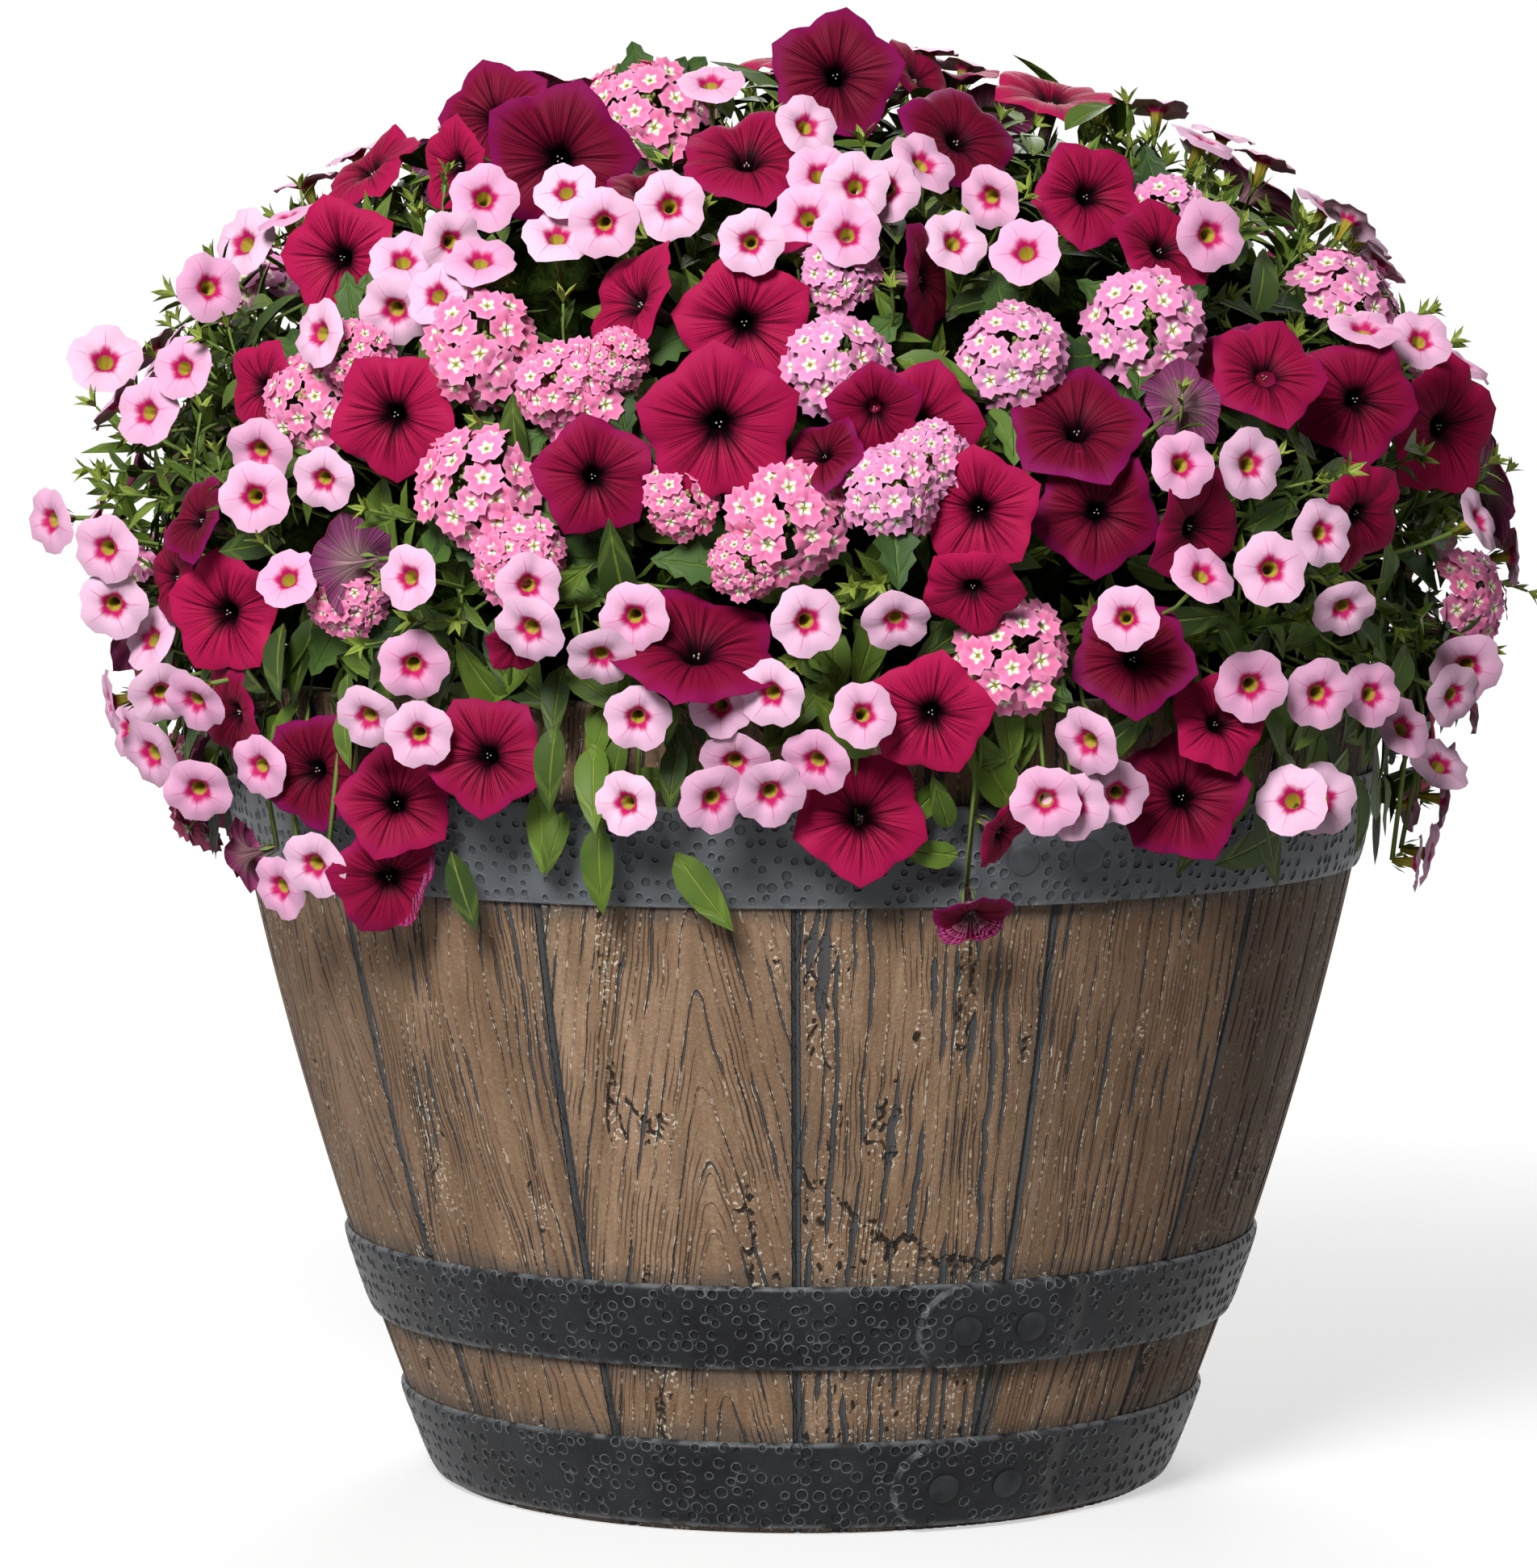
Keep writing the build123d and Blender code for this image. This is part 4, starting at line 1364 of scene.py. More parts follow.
def grown(name, copies, paints):
    """One mesh object from all the copies in a bin."""
    sizes = np.array([len(points) for points, _, _, _ in copies])
    corner_sizes = np.array([len(shape["corners"]) for _, shape, _, _ in copies])
    first_point = np.cumsum(sizes) - sizes
    first_corner = np.cumsum(corner_sizes) - corner_sizes
    points = np.concatenate([clear_of_wall(row[0]) for row in copies])
    corners = np.concatenate([row[1]["corners"] + first for row, first in zip(copies, first_point)])
    starts = np.concatenate([row[1]["starts"] + first for row, first in zip(copies, first_corner)])
    slots = np.concatenate([row[1]["paints"] if row[3] is None else row[1]["paints"] * 0 + row[3]
                            for row in copies])
    petal = np.concatenate([row[1]["petal"] for row in copies])
    tones = np.concatenate([np.full(size, row[2]) for row, size in zip(copies, sizes)])
    mesh = bpy.data.meshes.new(name)
    mesh.vertices.add(len(points))
    mesh.vertices.foreach_set("co", points.ravel())
    mesh.loops.add(len(corners))
    mesh.loops.foreach_set("vertex_index", corners.astype(np.int32))
    mesh.polygons.add(len(starts))
    mesh.polygons.foreach_set("loop_start", starts.astype(np.int32))
    mesh.polygons.foreach_set("material_index", slots.astype(np.int32))
    mesh.polygons.foreach_set("use_smooth", np.ones(len(starts), dtype=bool))
    mesh.uv_layers.new(name="petal").data.foreach_set("uv", petal.ravel())
    keep_numbers(mesh, tone=tones)
    for paint in paints:
        mesh.materials.append(paint)
    mesh.update(calc_edges=True)
    mesh.validate()
    piece = bpy.data.objects.new(name, mesh)
    bpy.context.scene.collection.objects.link(piece)
    return piece


KIND_PAINTS = {"leaves": (leaf_paints, "leaves"), "petunias": (petunia_paints, "petunia_petals"),
               "calibrachoas": (calibrachoa_paints, "calibrachoa_petals"),
               "verbenas": (verbena_paints, "verbena_petals")}
for kind, (paints, slot) in KIND_PAINTS.items():
    for clump, copies in enumerate(bins[kind], 1):
        if not copies:
            continue
        piece = grown("clump_%d_%s" % (clump, kind), copies, paints)
        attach(piece, "planting")
        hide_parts("flower_clump_%d" % clump)
    print(kind, "faces:", sum(len(thing.data.polygons) for thing in bpy.data.objects
                              if thing.name.endswith("_" + kind)))

# %% [markdown]
# Behind the leaves lies the tangle of old stems. It is a closed dome, cut flat above the
# potting mix and pushed in and out by noise, so no light shows through the mound. Its nearly black
# colour is painted shade.

# %% The tangle inside the mound
TANGLE_SHARE = 0.80
TANGLE_FLOOR = 0.330
NECK_TOP = 0.375
NECK_RADIUS = 0.222
# the tangle's two colours are painted shade, nearly black
TANGLE_SHADE_BLACK = (0.003, 0.005, 0.001)
TANGLE_SHADE_GREEN = (0.022, 0.036, 0.007)
tangle = new_piece("inner_tangle", bpy.ops.mesh.primitive_ico_sphere_add, subdivisions=6, radius=1)
bpy.ops.object.mode_set(mode="OBJECT")
points = points_of(tangle.data)
aim = points / np.linalg.norm(points, axis=1)[:, None]
share = TANGLE_SHARE + 0.05 * lumps(aim, 0.09, 3) + 0.03 * lumps(aim, 0.035, 4)
points = np.stack([aim[:, 0] * MOUND_RADIUS * share, aim[:, 1] * MOUND_RADIUS * share,
                   MOUND_MIDDLE + aim[:, 2] * MOUND_RISE * share], axis=1)
across = np.hypot(points[:, 0], points[:, 1])
neck = np.where(points[:, 2] < NECK_TOP, np.minimum(across, NECK_RADIUS), across)
points[:, :2] *= (neck / np.maximum(across, 1e-6))[:, None]
points[:, 2] = np.maximum(points[:, 2], TANGLE_FLOOR)
move_points(tangle.data, points)
bpy.ops.object.shade_smooth()


def shaded_tangle_finish(start):
    """Nearly black green as painted shade, rough as twigs."""
    place, _ = object_place(start)
    body = place.noise(70.0, 4, 0.7).rise(0.4, 0.7).mix(TANGLE_SHADE_BLACK, TANGLE_SHADE_GREEN)
    return {"Base Color": body, "Normal": place.noise(120.0, 4, 0.7).bump(6 * MM)}


tangle.data.materials.append(finish("tangle_painted_shade", shaded_tangle_finish,
                                    roughness=0.9, specular_ior_level=0.0))
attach(tangle, "planting")
print("tangle faces:", len(tangle.data.polygons))

# %% [markdown]
# Each stave is a bent board with a weathered face, so the plain CAD stave is replaced by a
# carved one of the same size. A flat grid is rolled into the board's closed section: many points
# lie across the face, few on the hidden sides and the back. The board keeps the CAD's groove for
# the head, the chamfers along its joints and those on its two ends.

# %% The stave's own shape
BARREL_HEIGHT = 356 * MM
RIM_RADIUS = 260 * MM
BASE_RADIUS = 160 * MM
BELLY = 10.6 * MM
STAVES = 14
FIRST_JOINT = math.radians(-0.5)
STAVE_THICKNESS = 18 * MM
STAVE_GAP = 0.1 * MM
ARRIS = 1.8 * MM
CHIME = 1.5 * MM
CROZE_LOW = 35.0 * MM
CROZE_HIGH = 43.0 * MM
CROZE_DEPTH = 5 * MM
FACE_POINTS = 120
BACK_POINTS = 8
ROW_STEP = 2.1 * MM
slant = math.hypot(RIM_RADIUS - BASE_RADIUS, BARREL_HEIGHT)
arc_radius = (slant ** 2 / 4 + BELLY ** 2) / (2 * BELLY)
arc_reach = arc_radius - BELLY
arc_across = (RIM_RADIUS + BASE_RADIUS) / 2 - arc_reach * BARREL_HEIGHT / slant
arc_height = BARREL_HEIGHT / 2 + arc_reach * (RIM_RADIUS - BASE_RADIUS) / slant


def face_radius(height, depth=0.0):
    """Distance from the barrel's axis to the staves' face, at a height and a depth."""
    return arc_across + np.sqrt((arc_radius - depth) ** 2 - (height - arc_height) ** 2)


croze_radius = float(face_radius((CROZE_LOW + CROZE_HIGH) / 2, STAVE_THICKNESS)) + CROZE_DEPTH
half_turn = math.pi / STAVES - STAVE_GAP / 2 / BASE_RADIUS
# the groove's sides are steep, so each has two rows that are all but at one height
inner_rows = [CHIME, CROZE_LOW - 0.01 * MM, CROZE_LOW, CROZE_HIGH, CROZE_HIGH + 0.01 * MM,
              BARREL_HEIGHT - CHIME]
rows_up = np.arange(2 * CHIME, BARREL_HEIGHT - 2 * CHIME, ROW_STEP)
heights = np.unique(np.round(np.concatenate([[0], inner_rows, rows_up, [BARREL_HEIGHT]]), 6))
print("face at the rim", round(float(face_radius(BARREL_HEIGHT)), 4), "rows", len(heights))


def round_places(radii, turns, height):
    """Places from their distance from the axis, their azimuth and their height."""
    return np.stack([radii * np.sin(turns), -radii * np.cos(turns), height], axis=1)


def section(height):
    """Closed outline of a stave at a height, as azimuths and radii."""
    outer = float(face_radius(height))
    inner = float(face_radius(height, STAVE_THICKNESS))
    if CROZE_LOW <= height <= CROZE_HIGH:
        inner = croze_radius
    if height in (heights[0], heights[-1]):
        outer -= CHIME
        inner += CHIME
    face_half = half_turn - ARRIS / outer
    face = np.linspace(-face_half, face_half, FACE_POINTS)
    back = np.linspace(half_turn, -half_turn, BACK_POINTS)
    turns = np.concatenate([face, [half_turn], back, [-half_turn], face[:1]])
    radii = np.concatenate([face * 0 + outer, [outer - ARRIS], back * 0 + inner,
                            [outer - ARRIS], [outer]])
    return turns, radii


# %% [markdown]
# A grid has the right number of points in each direction, so its columns can go round the
# board's outline and its rows up the board. Where the first and last columns meet they are
# welded, and the two ends are closed.

# %% Roll a grid into one board
RING = FACE_POINTS + BACK_POINTS + 2
board = new_piece("board", bpy.ops.mesh.primitive_grid_add,
                  x_subdivisions=RING, y_subdivisions=len(heights) - 1, size=1)
bpy.ops.object.mode_set(mode="OBJECT")
points = points_of(board.data)
column = np.rint((points[:, 0] + 0.5) * RING).astype(int)
row = np.rint((points[:, 1] + 0.5) * (len(heights) - 1)).astype(int)
outlines = [section(height) for height in heights]
turns = np.array([outline[0] for outline in outlines])[row, column]
radii = np.array([outline[1] for outline in outlines])[row, column]
move_points(board.data, round_places(radii, turns, heights[row]))
bpy.ops.object.mode_set(mode="EDIT")
seal()
bpy.ops.object.shade_smooth_by_angle(angle=math.radians(35))
print("one board:", len(board.data.vertices), "points,", len(board.data.polygons), "faces")

# %% [markdown]
# Weathered grain is a field of lines that run up the board. Think of a number that grows by one
# from each groove to the next: the grooves are where it is whole. On a board cut through the
# heart the number also falls along the board, and the lines close into arches. The number is
# kept on the points as grain, with the pitch of the lines, so the finish can draw each groove
# exactly where the wood is cut.

# %% The grain's lines on a board
GRAIN_PITCH = 5.6 * MM
ARCH_RISE = 34 * MM
ARCH_WIDTH = 5 * MM
PITCH_LIMITS = (60, 600)
# for each board: where its arches are centred, how wide its grooves are, how much its lines
# wander; a board without arches has None
BOARD_LOOKS = {0: (None, 1.35, 0.9), 1: (None, 0.95, 0.7), 2: (None, 0.8, 0.4),
               5: (0.0, 0.8, 0.8), 7: (None, 1.5, 1.0), 8: (-9 * MM, 0.7, 0.7),
               9: (None, 0.9, 1.5), 11: (14 * MM, 0.7, 0.8), 12: (None, 0.85, 1.7),
               13: (11.5 * MM, 0.60, 0.6)}
PLAIN_BOARD = (None, 1.0, 0.8)
# how dark each board is: partly its own tone, and partly painted shade, strongest on the boards at the right
# side
BOARD_TONE_AND_SHADE = (0.0, 0.3, 0.95, 0.8, 0.5, 0.3, 0.1, 0.4, 0.2, 0.35, 0.3, 0.6, 0.3, 0.0)
# the crack across the board right of the front joint: places across it and their heights, in mm
CRACK_ACROSS = (-50, -47.4, -40.3, -26.3, -12.1, 2.0, 19.9, 37.6, 50)
CRACK_HEIGHTS = (165, 162.8, 155.2, 144.5, 133.7, 128, 122, 121, 118)
CRACKED_BOARD = 0
GROOVE_DEPTH = 0.85 * MM
HOLLOW_DEPTH = 0.30 * MM
CHIP_DEPTH = 0.45 * MM


def grain_number(across, height, board_number):
    """The number whose whole values are the grooves, at places on one board."""
    centre, _, wander = BOARD_LOOKS.get(board_number, PLAIN_BOARD)
    flat = np.stack([across, height, across * 0 + board_number * 3.1], axis=1)
    wide = lumps(flat * [1 / 0.034, 1 / 0.110, 1], 1.0, 11)
    middle = lumps(flat * [1 / 0.012, 1 / 0.040, 1], 1.0, 12)
    small = lumps(flat * [1 / 0.005, 1 / 0.009, 1], 1.0, 13)
    number = wander * (0.95 * wide + 0.34 * middle) + 0.10 * small
    if centre is None:
        return number + across / GRAIN_PITCH
    aside = (across - centre) / ARCH_WIDTH
    return number + height / ARCH_RISE + ARCH_WIDTH / GRAIN_PITCH * (np.sqrt(1 + aside ** 2) - 1)


def crack_height(across):
    """Height of the crack on its board, jagged as a split across the grain is."""
    flat = np.stack([across, across * 0, across * 0], axis=1)
    jag = 3.4 * MM * lumps(flat, 7.0 * MM, 51) + 1.6 * MM * lumps(flat, 2.4 * MM, 52)
    return np.interp(across, np.multiply(CRACK_ACROSS, MM), np.multiply(CRACK_HEIGHTS, MM)) + jag


def crazed_share(across, height, board_number):
    """How much a place is crazed with pits and short cracks, from 0 to 1."""
    flat = np.stack([across / 0.009, height / 0.036, across * 0 + board_number * 2.3], axis=1)
    share = np.clip((lumps(flat, 1.0, 41) - 0.52) * 4, 0, 1)
    if board_number == CRACKED_BOARD:
        below = crack_height(across) - height
        near = np.clip(1 - np.abs(below - 5 * MM) / (11 * MM), 0, 1)
        share = np.maximum(share, near * np.clip(0.75 + lumps(flat * [0.9, 3, 1], 1.0, 43), 0, 1))
        share = np.maximum(share, 0.3 * np.clip(below / (8 * MM), 0, 1))
    return share


def carved(board_number):
    """One board at its place in the ring, with its grooves cut and its grain kept on it."""
    mesh = board.data.copy()
    points = points_of(mesh)
    turn = np.arctan2(points[:, 0], -points[:, 1])
    radius = np.hypot(points[:, 0], points[:, 1])
    height = points[:, 2]
    skin = ((radius > face_radius(height) - CHIME - 0.1 * MM)
            & (np.abs(turn) < half_turn - 0.5 * ARRIS / radius))
    across = turn * radius
    width_factor = BOARD_LOOKS.get(board_number, PLAIN_BOARD)[1]
    crazed = crazed_share(across, height, board_number)
    number = grain_number(across, height, board_number)
    step = 0.2 * MM
    slope_x = (grain_number(across + step, height, board_number) - number) / step
    slope_z = (grain_number(across, height + step, board_number) - number) / step
    pitch = np.clip(np.hypot(slope_x, slope_z), *PITCH_LIMITS)
    line = np.rint(number)
    off_line = np.abs(number - line) / pitch
    flat = np.stack([line * 7.3, height / 0.024, line * 0 + board_number * 5.7], axis=1)
    there = np.clip((lumps(flat, 1.0, 21) + 0.12) * 2.4, 0, 1)
    flat = np.stack([line * 3.7, height / 0.05, line * 0 + board_number], axis=1)
    stout = 0.5 + 0.5 * lumps(flat, 1.0, 22)
    width = width_factor * (0.25 + 1.05 * stout ** 1.5) * there * (1 + 0.7 * crazed) * MM
    groove = np.clip(width / (0.5 * MM), 0, 1) * np.exp(-(off_line / (0.45 * MM + 0.8 * width)) ** 2)
    flat = np.stack([across / 0.018, height / 0.05, across * 0 + board_number], axis=1)
    hollow = 0.5 + 0.5 * lumps(flat, 1.0, 31)
    near_face = radius > face_radius(height) - ARRIS - CHIME - 0.5 * MM
    crack = np.full(len(points), 1.0)
    if board_number == CRACKED_BOARD:
        crack = np.abs(height - crack_height(across)) * 0.8
        crack += 1.1 * MM * lumps(points, 9 * MM, 53)
    cut = np.maximum(groove, np.exp(-(crack / (1.6 * MM)) ** 2))
    chips = np.maximum(crazed * lumps(points, 2.6 * MM, 42), 0)
    depth = GROOVE_DEPTH * cut + HOLLOW_DEPTH * hollow + CHIP_DEPTH * chips
    centre = FIRST_JOINT + (board_number + 0.5) * FULL_TURN / STAVES
    move_points(mesh, round_places(radius - np.where(skin, depth, 0), turn + centre, height))
    # dark carries each board's own tone and its painted shade to the finish
    keep_numbers(mesh, grain=number, pitch=pitch, width=width, skin=near_face.astype(float),
                 across=across, board=across * 0 + board_number, crazed=crazed, crack=crack,
                 dark=across * 0 + BOARD_TONE_AND_SHADE[board_number])
    piece = bpy.data.objects.new("carved_stave_%02d" % (board_number + 1), mesh)
    bpy.context.scene.collection.objects.link(piece)
    return piece


print("boards with a look of their own:", sorted(BOARD_LOOKS))

# %% [markdown]
# The staves' finish: a warm brown, rubbed back on the high places, with slate grey dirt in the
# grooves and along the joints. Pale flecks on the grooves' edges and specks in the crazed places
# are painted highlights. Some boards are darker as a whole, partly in their own tone and partly as
# painted shade, which is strongest on the boards at the right side.
# The wood is greyer beside the hoops, where wet dirt collects, and bare and tan on the inside.

# %% Stave wood finish
WARM_BROWN = (0.300, 0.188, 0.115)
DARK_BROWN = (0.170, 0.104, 0.062)
RUBBED_BROWN = (0.42, 0.295, 0.200)
SLATE = (0.064, 0.066, 0.069)
CREVICE = (0.022, 0.018, 0.015)
PAINTED_SHADE_BROWN = (0.055, 0.036, 0.023)
# the next two colours are painted highlights on the grooves' edges and in the crazed places
LIT_BROWN = (0.68, 0.55, 0.42)
PALE_HIGHLIGHT = (0.80, 0.72, 0.58)
BARE_OAK = (0.30, 0.20, 0.115)
OAK_SHADE = (0.17, 0.105, 0.060)
HOOP_DIRT = (0.085, 0.075, 0.066)
JOINT_DIRT = (0.11, 0.085, 0.066)
RIM_GREY = (0.40, 0.33, 0.25)
HOOP_EDGES = ((3.0, 41.8), (75.0, 111.5), (273.0, 314.6))


def nearest_line(value):
    """The whole number nearest to a value."""
    return (value + 0.5).math("FLOOR")


def off_hoop_edge(z):
    """Height from the nearest edge of a hoop."""
    reaches = [(z - edge * MM).math("ABSOLUTE") for hoop_edges in HOOP_EDGES for edge in hoop_edges]
    nearest = reaches[0]
    for reach in reaches[1:]:
        nearest = nearest.math("MINIMUM", reach)
    return nearest


def stave_finish(start):
    """Weathered face, dirt in the grooves and joints, bare oak inside."""
    place, (x, y, z) = object_place(start)
    grain, pitch, board_tone, skin, across, crazed, dark = map(
        start.attribute, ("grain", "pitch", "board", "skin", "across", "crazed", "dark"))
    flat = start.node("ShaderNodeCombineXYZ", None, {0: across, 1: z, 2: board_tone * 0.37})
    off_line = (grain - nearest_line(grain)).math("ABSOLUTE") / pitch
    jitter = flat.noise(420.0, 2)
    speckle = flat.noise(900.0, 2, 0.7)
    width = start.attribute("width") * (flat.noise(130.0, 2) * 1.5 + 0.3)
    wobble = (jitter - 0.5) * 0.7 * MM
    groove = (width - off_line + wobble).rise(-0.10 * MM, 0.22 * MM)
    lip = (width - off_line + 0.55 * MM + wobble).rise(-0.1 * MM, 0.25 * MM)

    fine = grain * 2.6 + flat.noise(70.0, 3) * 0.8
    fine_off = (fine - nearest_line(fine)).math("ABSOLUTE") / (pitch * 2.6)
    fine_there = flat.noise(38.0, 2, stretch=(1.6, 0.5, 1)).rise(0.50, 0.60)
    fine_width = fine_there * 0.34 * MM + (jitter - 0.5) * 0.3 * MM
    fine_cut = (fine_width - fine_off).rise(-0.05 * MM, 0.18 * MM)

    broken = flat.stretched((1, 0.55, 1)).moved_by(flat.noise(60.0, 3, output=1), 0.010)
    cells = broken.node("ShaderNodeTexVoronoi", {"feature": "DISTANCE_TO_EDGE"},
                        {"Vector": broken, "Scale": 85.0}, "Distance")
    crack = cells.rise(0.075, 0.02) * crazed.rise(0.5, 0.8) * flat.noise(160.0, 2).rise(0.40, 0.55)
    off_crack = start.attribute("crack") + (jitter - 0.5) * 1.6 * MM
    crack = crack + off_crack.rise(1.5 * MM, 0.8 * MM)
    pit = flat.noise(240.0, 1, stretch=(1, 0.6, 1)).rise(0.66, 0.70) * crazed.rise(0.05, 0.3)

    side = (FULL_TURN / STAVES / 2) * (x * x + y * y).math("SQRT") - across.math("ABSOLUTE")
    joint = (side + (jitter - 0.5) * 1.0 * MM).rise(2.0 * MM, 1.4 * MM)

    cut = (groove + fine_cut * 0.6 + crack + pit).clamped()
    blotch = flat.noise(16.0, 4, 0.6, stretch=(1.4, 0.5, 1))
    streak = flat.noise(150.0, 3, 0.6, stretch=(1, 0.10, 1))
    body = (blotch * 0.75 + streak * 0.45 - 0.1).rise(0.28, 0.72).mix(DARK_BROWN, WARM_BROWN)
    rubbed = (streak * 0.6 + jitter * 0.5 + blotch * 0.2).rise(0.62, 0.85)
    body = (rubbed * 0.45).mix(body, RUBBED_BROWN)
    body = (speckle.rise(0.56, 0.70) * 0.45).mix(body, DARK_BROWN)
    body = (speckle.rise(0.46, 0.32) * 0.35).mix(body, RUBBED_BROWN)
    # each board's own tone and painted shade; the darkest boards, at the right side, get painted shade in a
    # deeper brown
    body = (dark * 0.6).mix(body, DARK_BROWN)
    body = dark.rise(0.6, 1.2).mix(body, PAINTED_SHADE_BROWN)
    near_hoop = (off_hoop_edge(z) + (blotch - 0.5) * 12 * MM).rise(10 * MM, 1 * MM)
    body = (near_hoop * 0.62).mix(body, HOOP_DIRT)
    side_dirt = (side + (blotch - 0.5) * 9 * MM).rise(8 * MM, 2 * MM)
    body = (side_dirt * 0.35).mix(body, JOINT_DIRT)
    # painted highlights: pale flecks beside the grooves, and specks in the crazed places
    highlight_flecks = flat.noise(480.0, 2).rise(0.50, 0.60) * flat.noise(90.0, 2).rise(0.42, 0.56)
    highlight_specks = flat.noise(520.0, 1).rise(0.60, 0.66) * crazed.rise(0.0, 0.5)
    painted_highlight = ((lip - groove).clamped() * highlight_flecks + highlight_specks * (1 - cut) * 0.7).clamped()
    body = (cut * 0.95).mix(body, groove.rise(0.3, 1.0).mix(CREVICE, SLATE))
    body = (painted_highlight * 0.9).mix(body, crazed.rise(0.0, 0.3).mix(LIT_BROWN, PALE_HIGHLIGHT))
    body = joint.mix(body, SLATE)
    oak = place.noise(40.0, 4, 0.6, stretch=(1, 1, 0.12)).mix(OAK_SHADE, BARE_OAK)
    rim = z.rise(BARREL_HEIGHT - 2.5 * MM, BARREL_HEIGHT - 0.5 * MM)
    body = skin.rise(0.35, 0.65).mix(oak, body)
    body = (rim * 0.6).mix(body, RIM_GREY)

    height = (joint * -1.2 - groove * 1.0 - fine_cut * 0.35 - crack * 0.8 - pit * 0.7
              + (lip - groove).clamped() * 0.30 + jitter * 0.22 + speckle * 0.18 + streak * 0.15)
    relief = height.bump(1.6 * MM, 0.9)
    rough = cut.rise(0.0, 1.0) * 0.2 + 0.62
    return {"Base Color": body, "Normal": relief, "Roughness": rough}


stave_paint = finish("weathered_stave", stave_finish, specular_ior_level=0.12)
for board_number in range(STAVES):
    piece = carved(board_number)
    piece.data.materials.clear()
    piece.data.materials.append(stave_paint)
    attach(piece, "planter")
    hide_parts("stave_%02d" % (board_number + 1))
bpy.data.objects.remove(board)
print("carved staves:", STAVES)

# %% [markdown]
# The hoops are iron straps stamped all over with small round dents, as a ball punch leaves them.
# Each is a grid rolled into a closed ring. A ray is cast at the CAD strap for its outer face, so
# the lap, its rounded end and the step beyond it stay where they are. The face is then crowned,
# and the dents are pressed into it. How far each point is from the nearest dent's rim is kept on
# the points, so the finish can sharpen the rims.

# %% Stamped hoops
HOOP_CELL = 0.95 * MM
CROWN = 1.1 * MM
DENT_PITCH = 6.9 * MM
DENT_ROW_PITCH = 6.1 * MM
DENT_DEPTH = 0.75 * MM
DENT_RADII = (1.25 * MM, 2.25 * MM)
DENT_LIP = 0.16 * MM
CAST_FROM = 0.4
RIVET_MARGIN = 8.5 * MM
SOFTEN = 0.5 * MM
EDGE_INSET = 0.6 * MM
HOOP_CLEARANCE = 0.2 * MM
LAP_MARGIN = 0.06
NO_DENT = -1
BARE_SHARE = 0.10


def face_of(tree, azimuth, height):
    """Distance from the axis to the outer face of a strap."""
    outward = Vector((math.sin(azimuth), -math.cos(azimuth), 0))
    hit = tree.ray_cast(outward * CAST_FROM + Vector((0, 0, height)), -outward)[0]
    return math.hypot(hit.x, hit.y)


def rivet_places(name):
    """Azimuth and height of each rivet of a strap."""
    points = points_of(nodes[name + "_rivets"].data)
    azimuths = np.arctan2(points[:, 0], -points[:, 1])
    first = azimuths < azimuths.mean()
    return [(azimuths[part].mean(), points[part, 2].mean()) for part in (first, ~first)]


def strap_faces(tree, azimuths, heights):
    """Radii of a strap's outer face on a grid of azimuths and heights."""
    middle = heights[len(heights) // 2]
    plain = np.array([face_of(tree, math.pi, height) for height in heights])
    raised = [azimuth for azimuth in azimuths[::6]
              if face_of(tree, azimuth, middle) > plain[len(heights) // 2] + 0.2 * MM]
    radii = np.tile(plain, (len(azimuths), 1))
    for column, azimuth in enumerate(azimuths):
        if not min(raised) - LAP_MARGIN < azimuth < max(raised) + LAP_MARGIN:
            continue
        for row, height in enumerate(heights):
            around = [face_of(tree, azimuth + turn * SOFTEN / plain[row],
                              min(max(height + lift * SOFTEN, heights[0]), heights[-1]))
                      for turn, lift in ((0, 0), (1, 0), (-1, 0), (0, 1), (0, -1))]
            radii[column, row] = sum(around) / len(around)
    return radii


def dent_field(along, height, length, low, high, rivets, seed):
    """Signed distance to the nearest dent's rim, and that dent's radius."""
    draw_dents = np.random.default_rng(seed)
    columns = round(length / DENT_PITCH)
    rows_across = round((high - low) / DENT_ROW_PITCH)
    shape = (columns, rows_across)
    shift = np.arange(rows_across) % 2 * 0.5
    u = np.arange(columns)[:, None] + 0.5 + shift + draw_dents.uniform(-0.27, 0.27, shape)
    u = u * length / columns
    v = np.arange(rows_across) + 0.5 + draw_dents.uniform(-0.24, 0.24, shape)
    v = low + v * (high - low) / rows_across
    size = draw_dents.uniform(*DENT_RADII, shape)
    size[draw_dents.uniform(0, 1, shape) < BARE_SHARE] = NO_DENT
    for place, level in rivets:
        size[np.hypot(u - place, v - level) < RIVET_MARGIN] = NO_DENT
    cell_u = np.floor(along / length * columns).astype(int)
    cell_v = np.floor((height - low) / (high - low) * rows_across).astype(int)
    cell_v = np.clip(cell_v, 0, rows_across - 1)
    nearest = np.full(len(along), 1.0)
    radius = np.full(len(along), DENT_RADII[0])
    for step_u in (-2, -1, 0, 1):
        for step_v in (-1, 0, 1):
            i = (cell_u + step_u) % columns
            j = np.clip(cell_v + step_v, 0, rows_across - 1)
            gap = (along - u[i, j] + length / 2) % length - length / 2
            beyond = np.hypot(gap, height - v[i, j]) - size[i, j]
            closer = (beyond < nearest) & (size[i, j] > 0)
            nearest = np.where(closer, beyond, nearest)
            radius = np.where(closer, size[i, j], radius)
    return nearest, radius


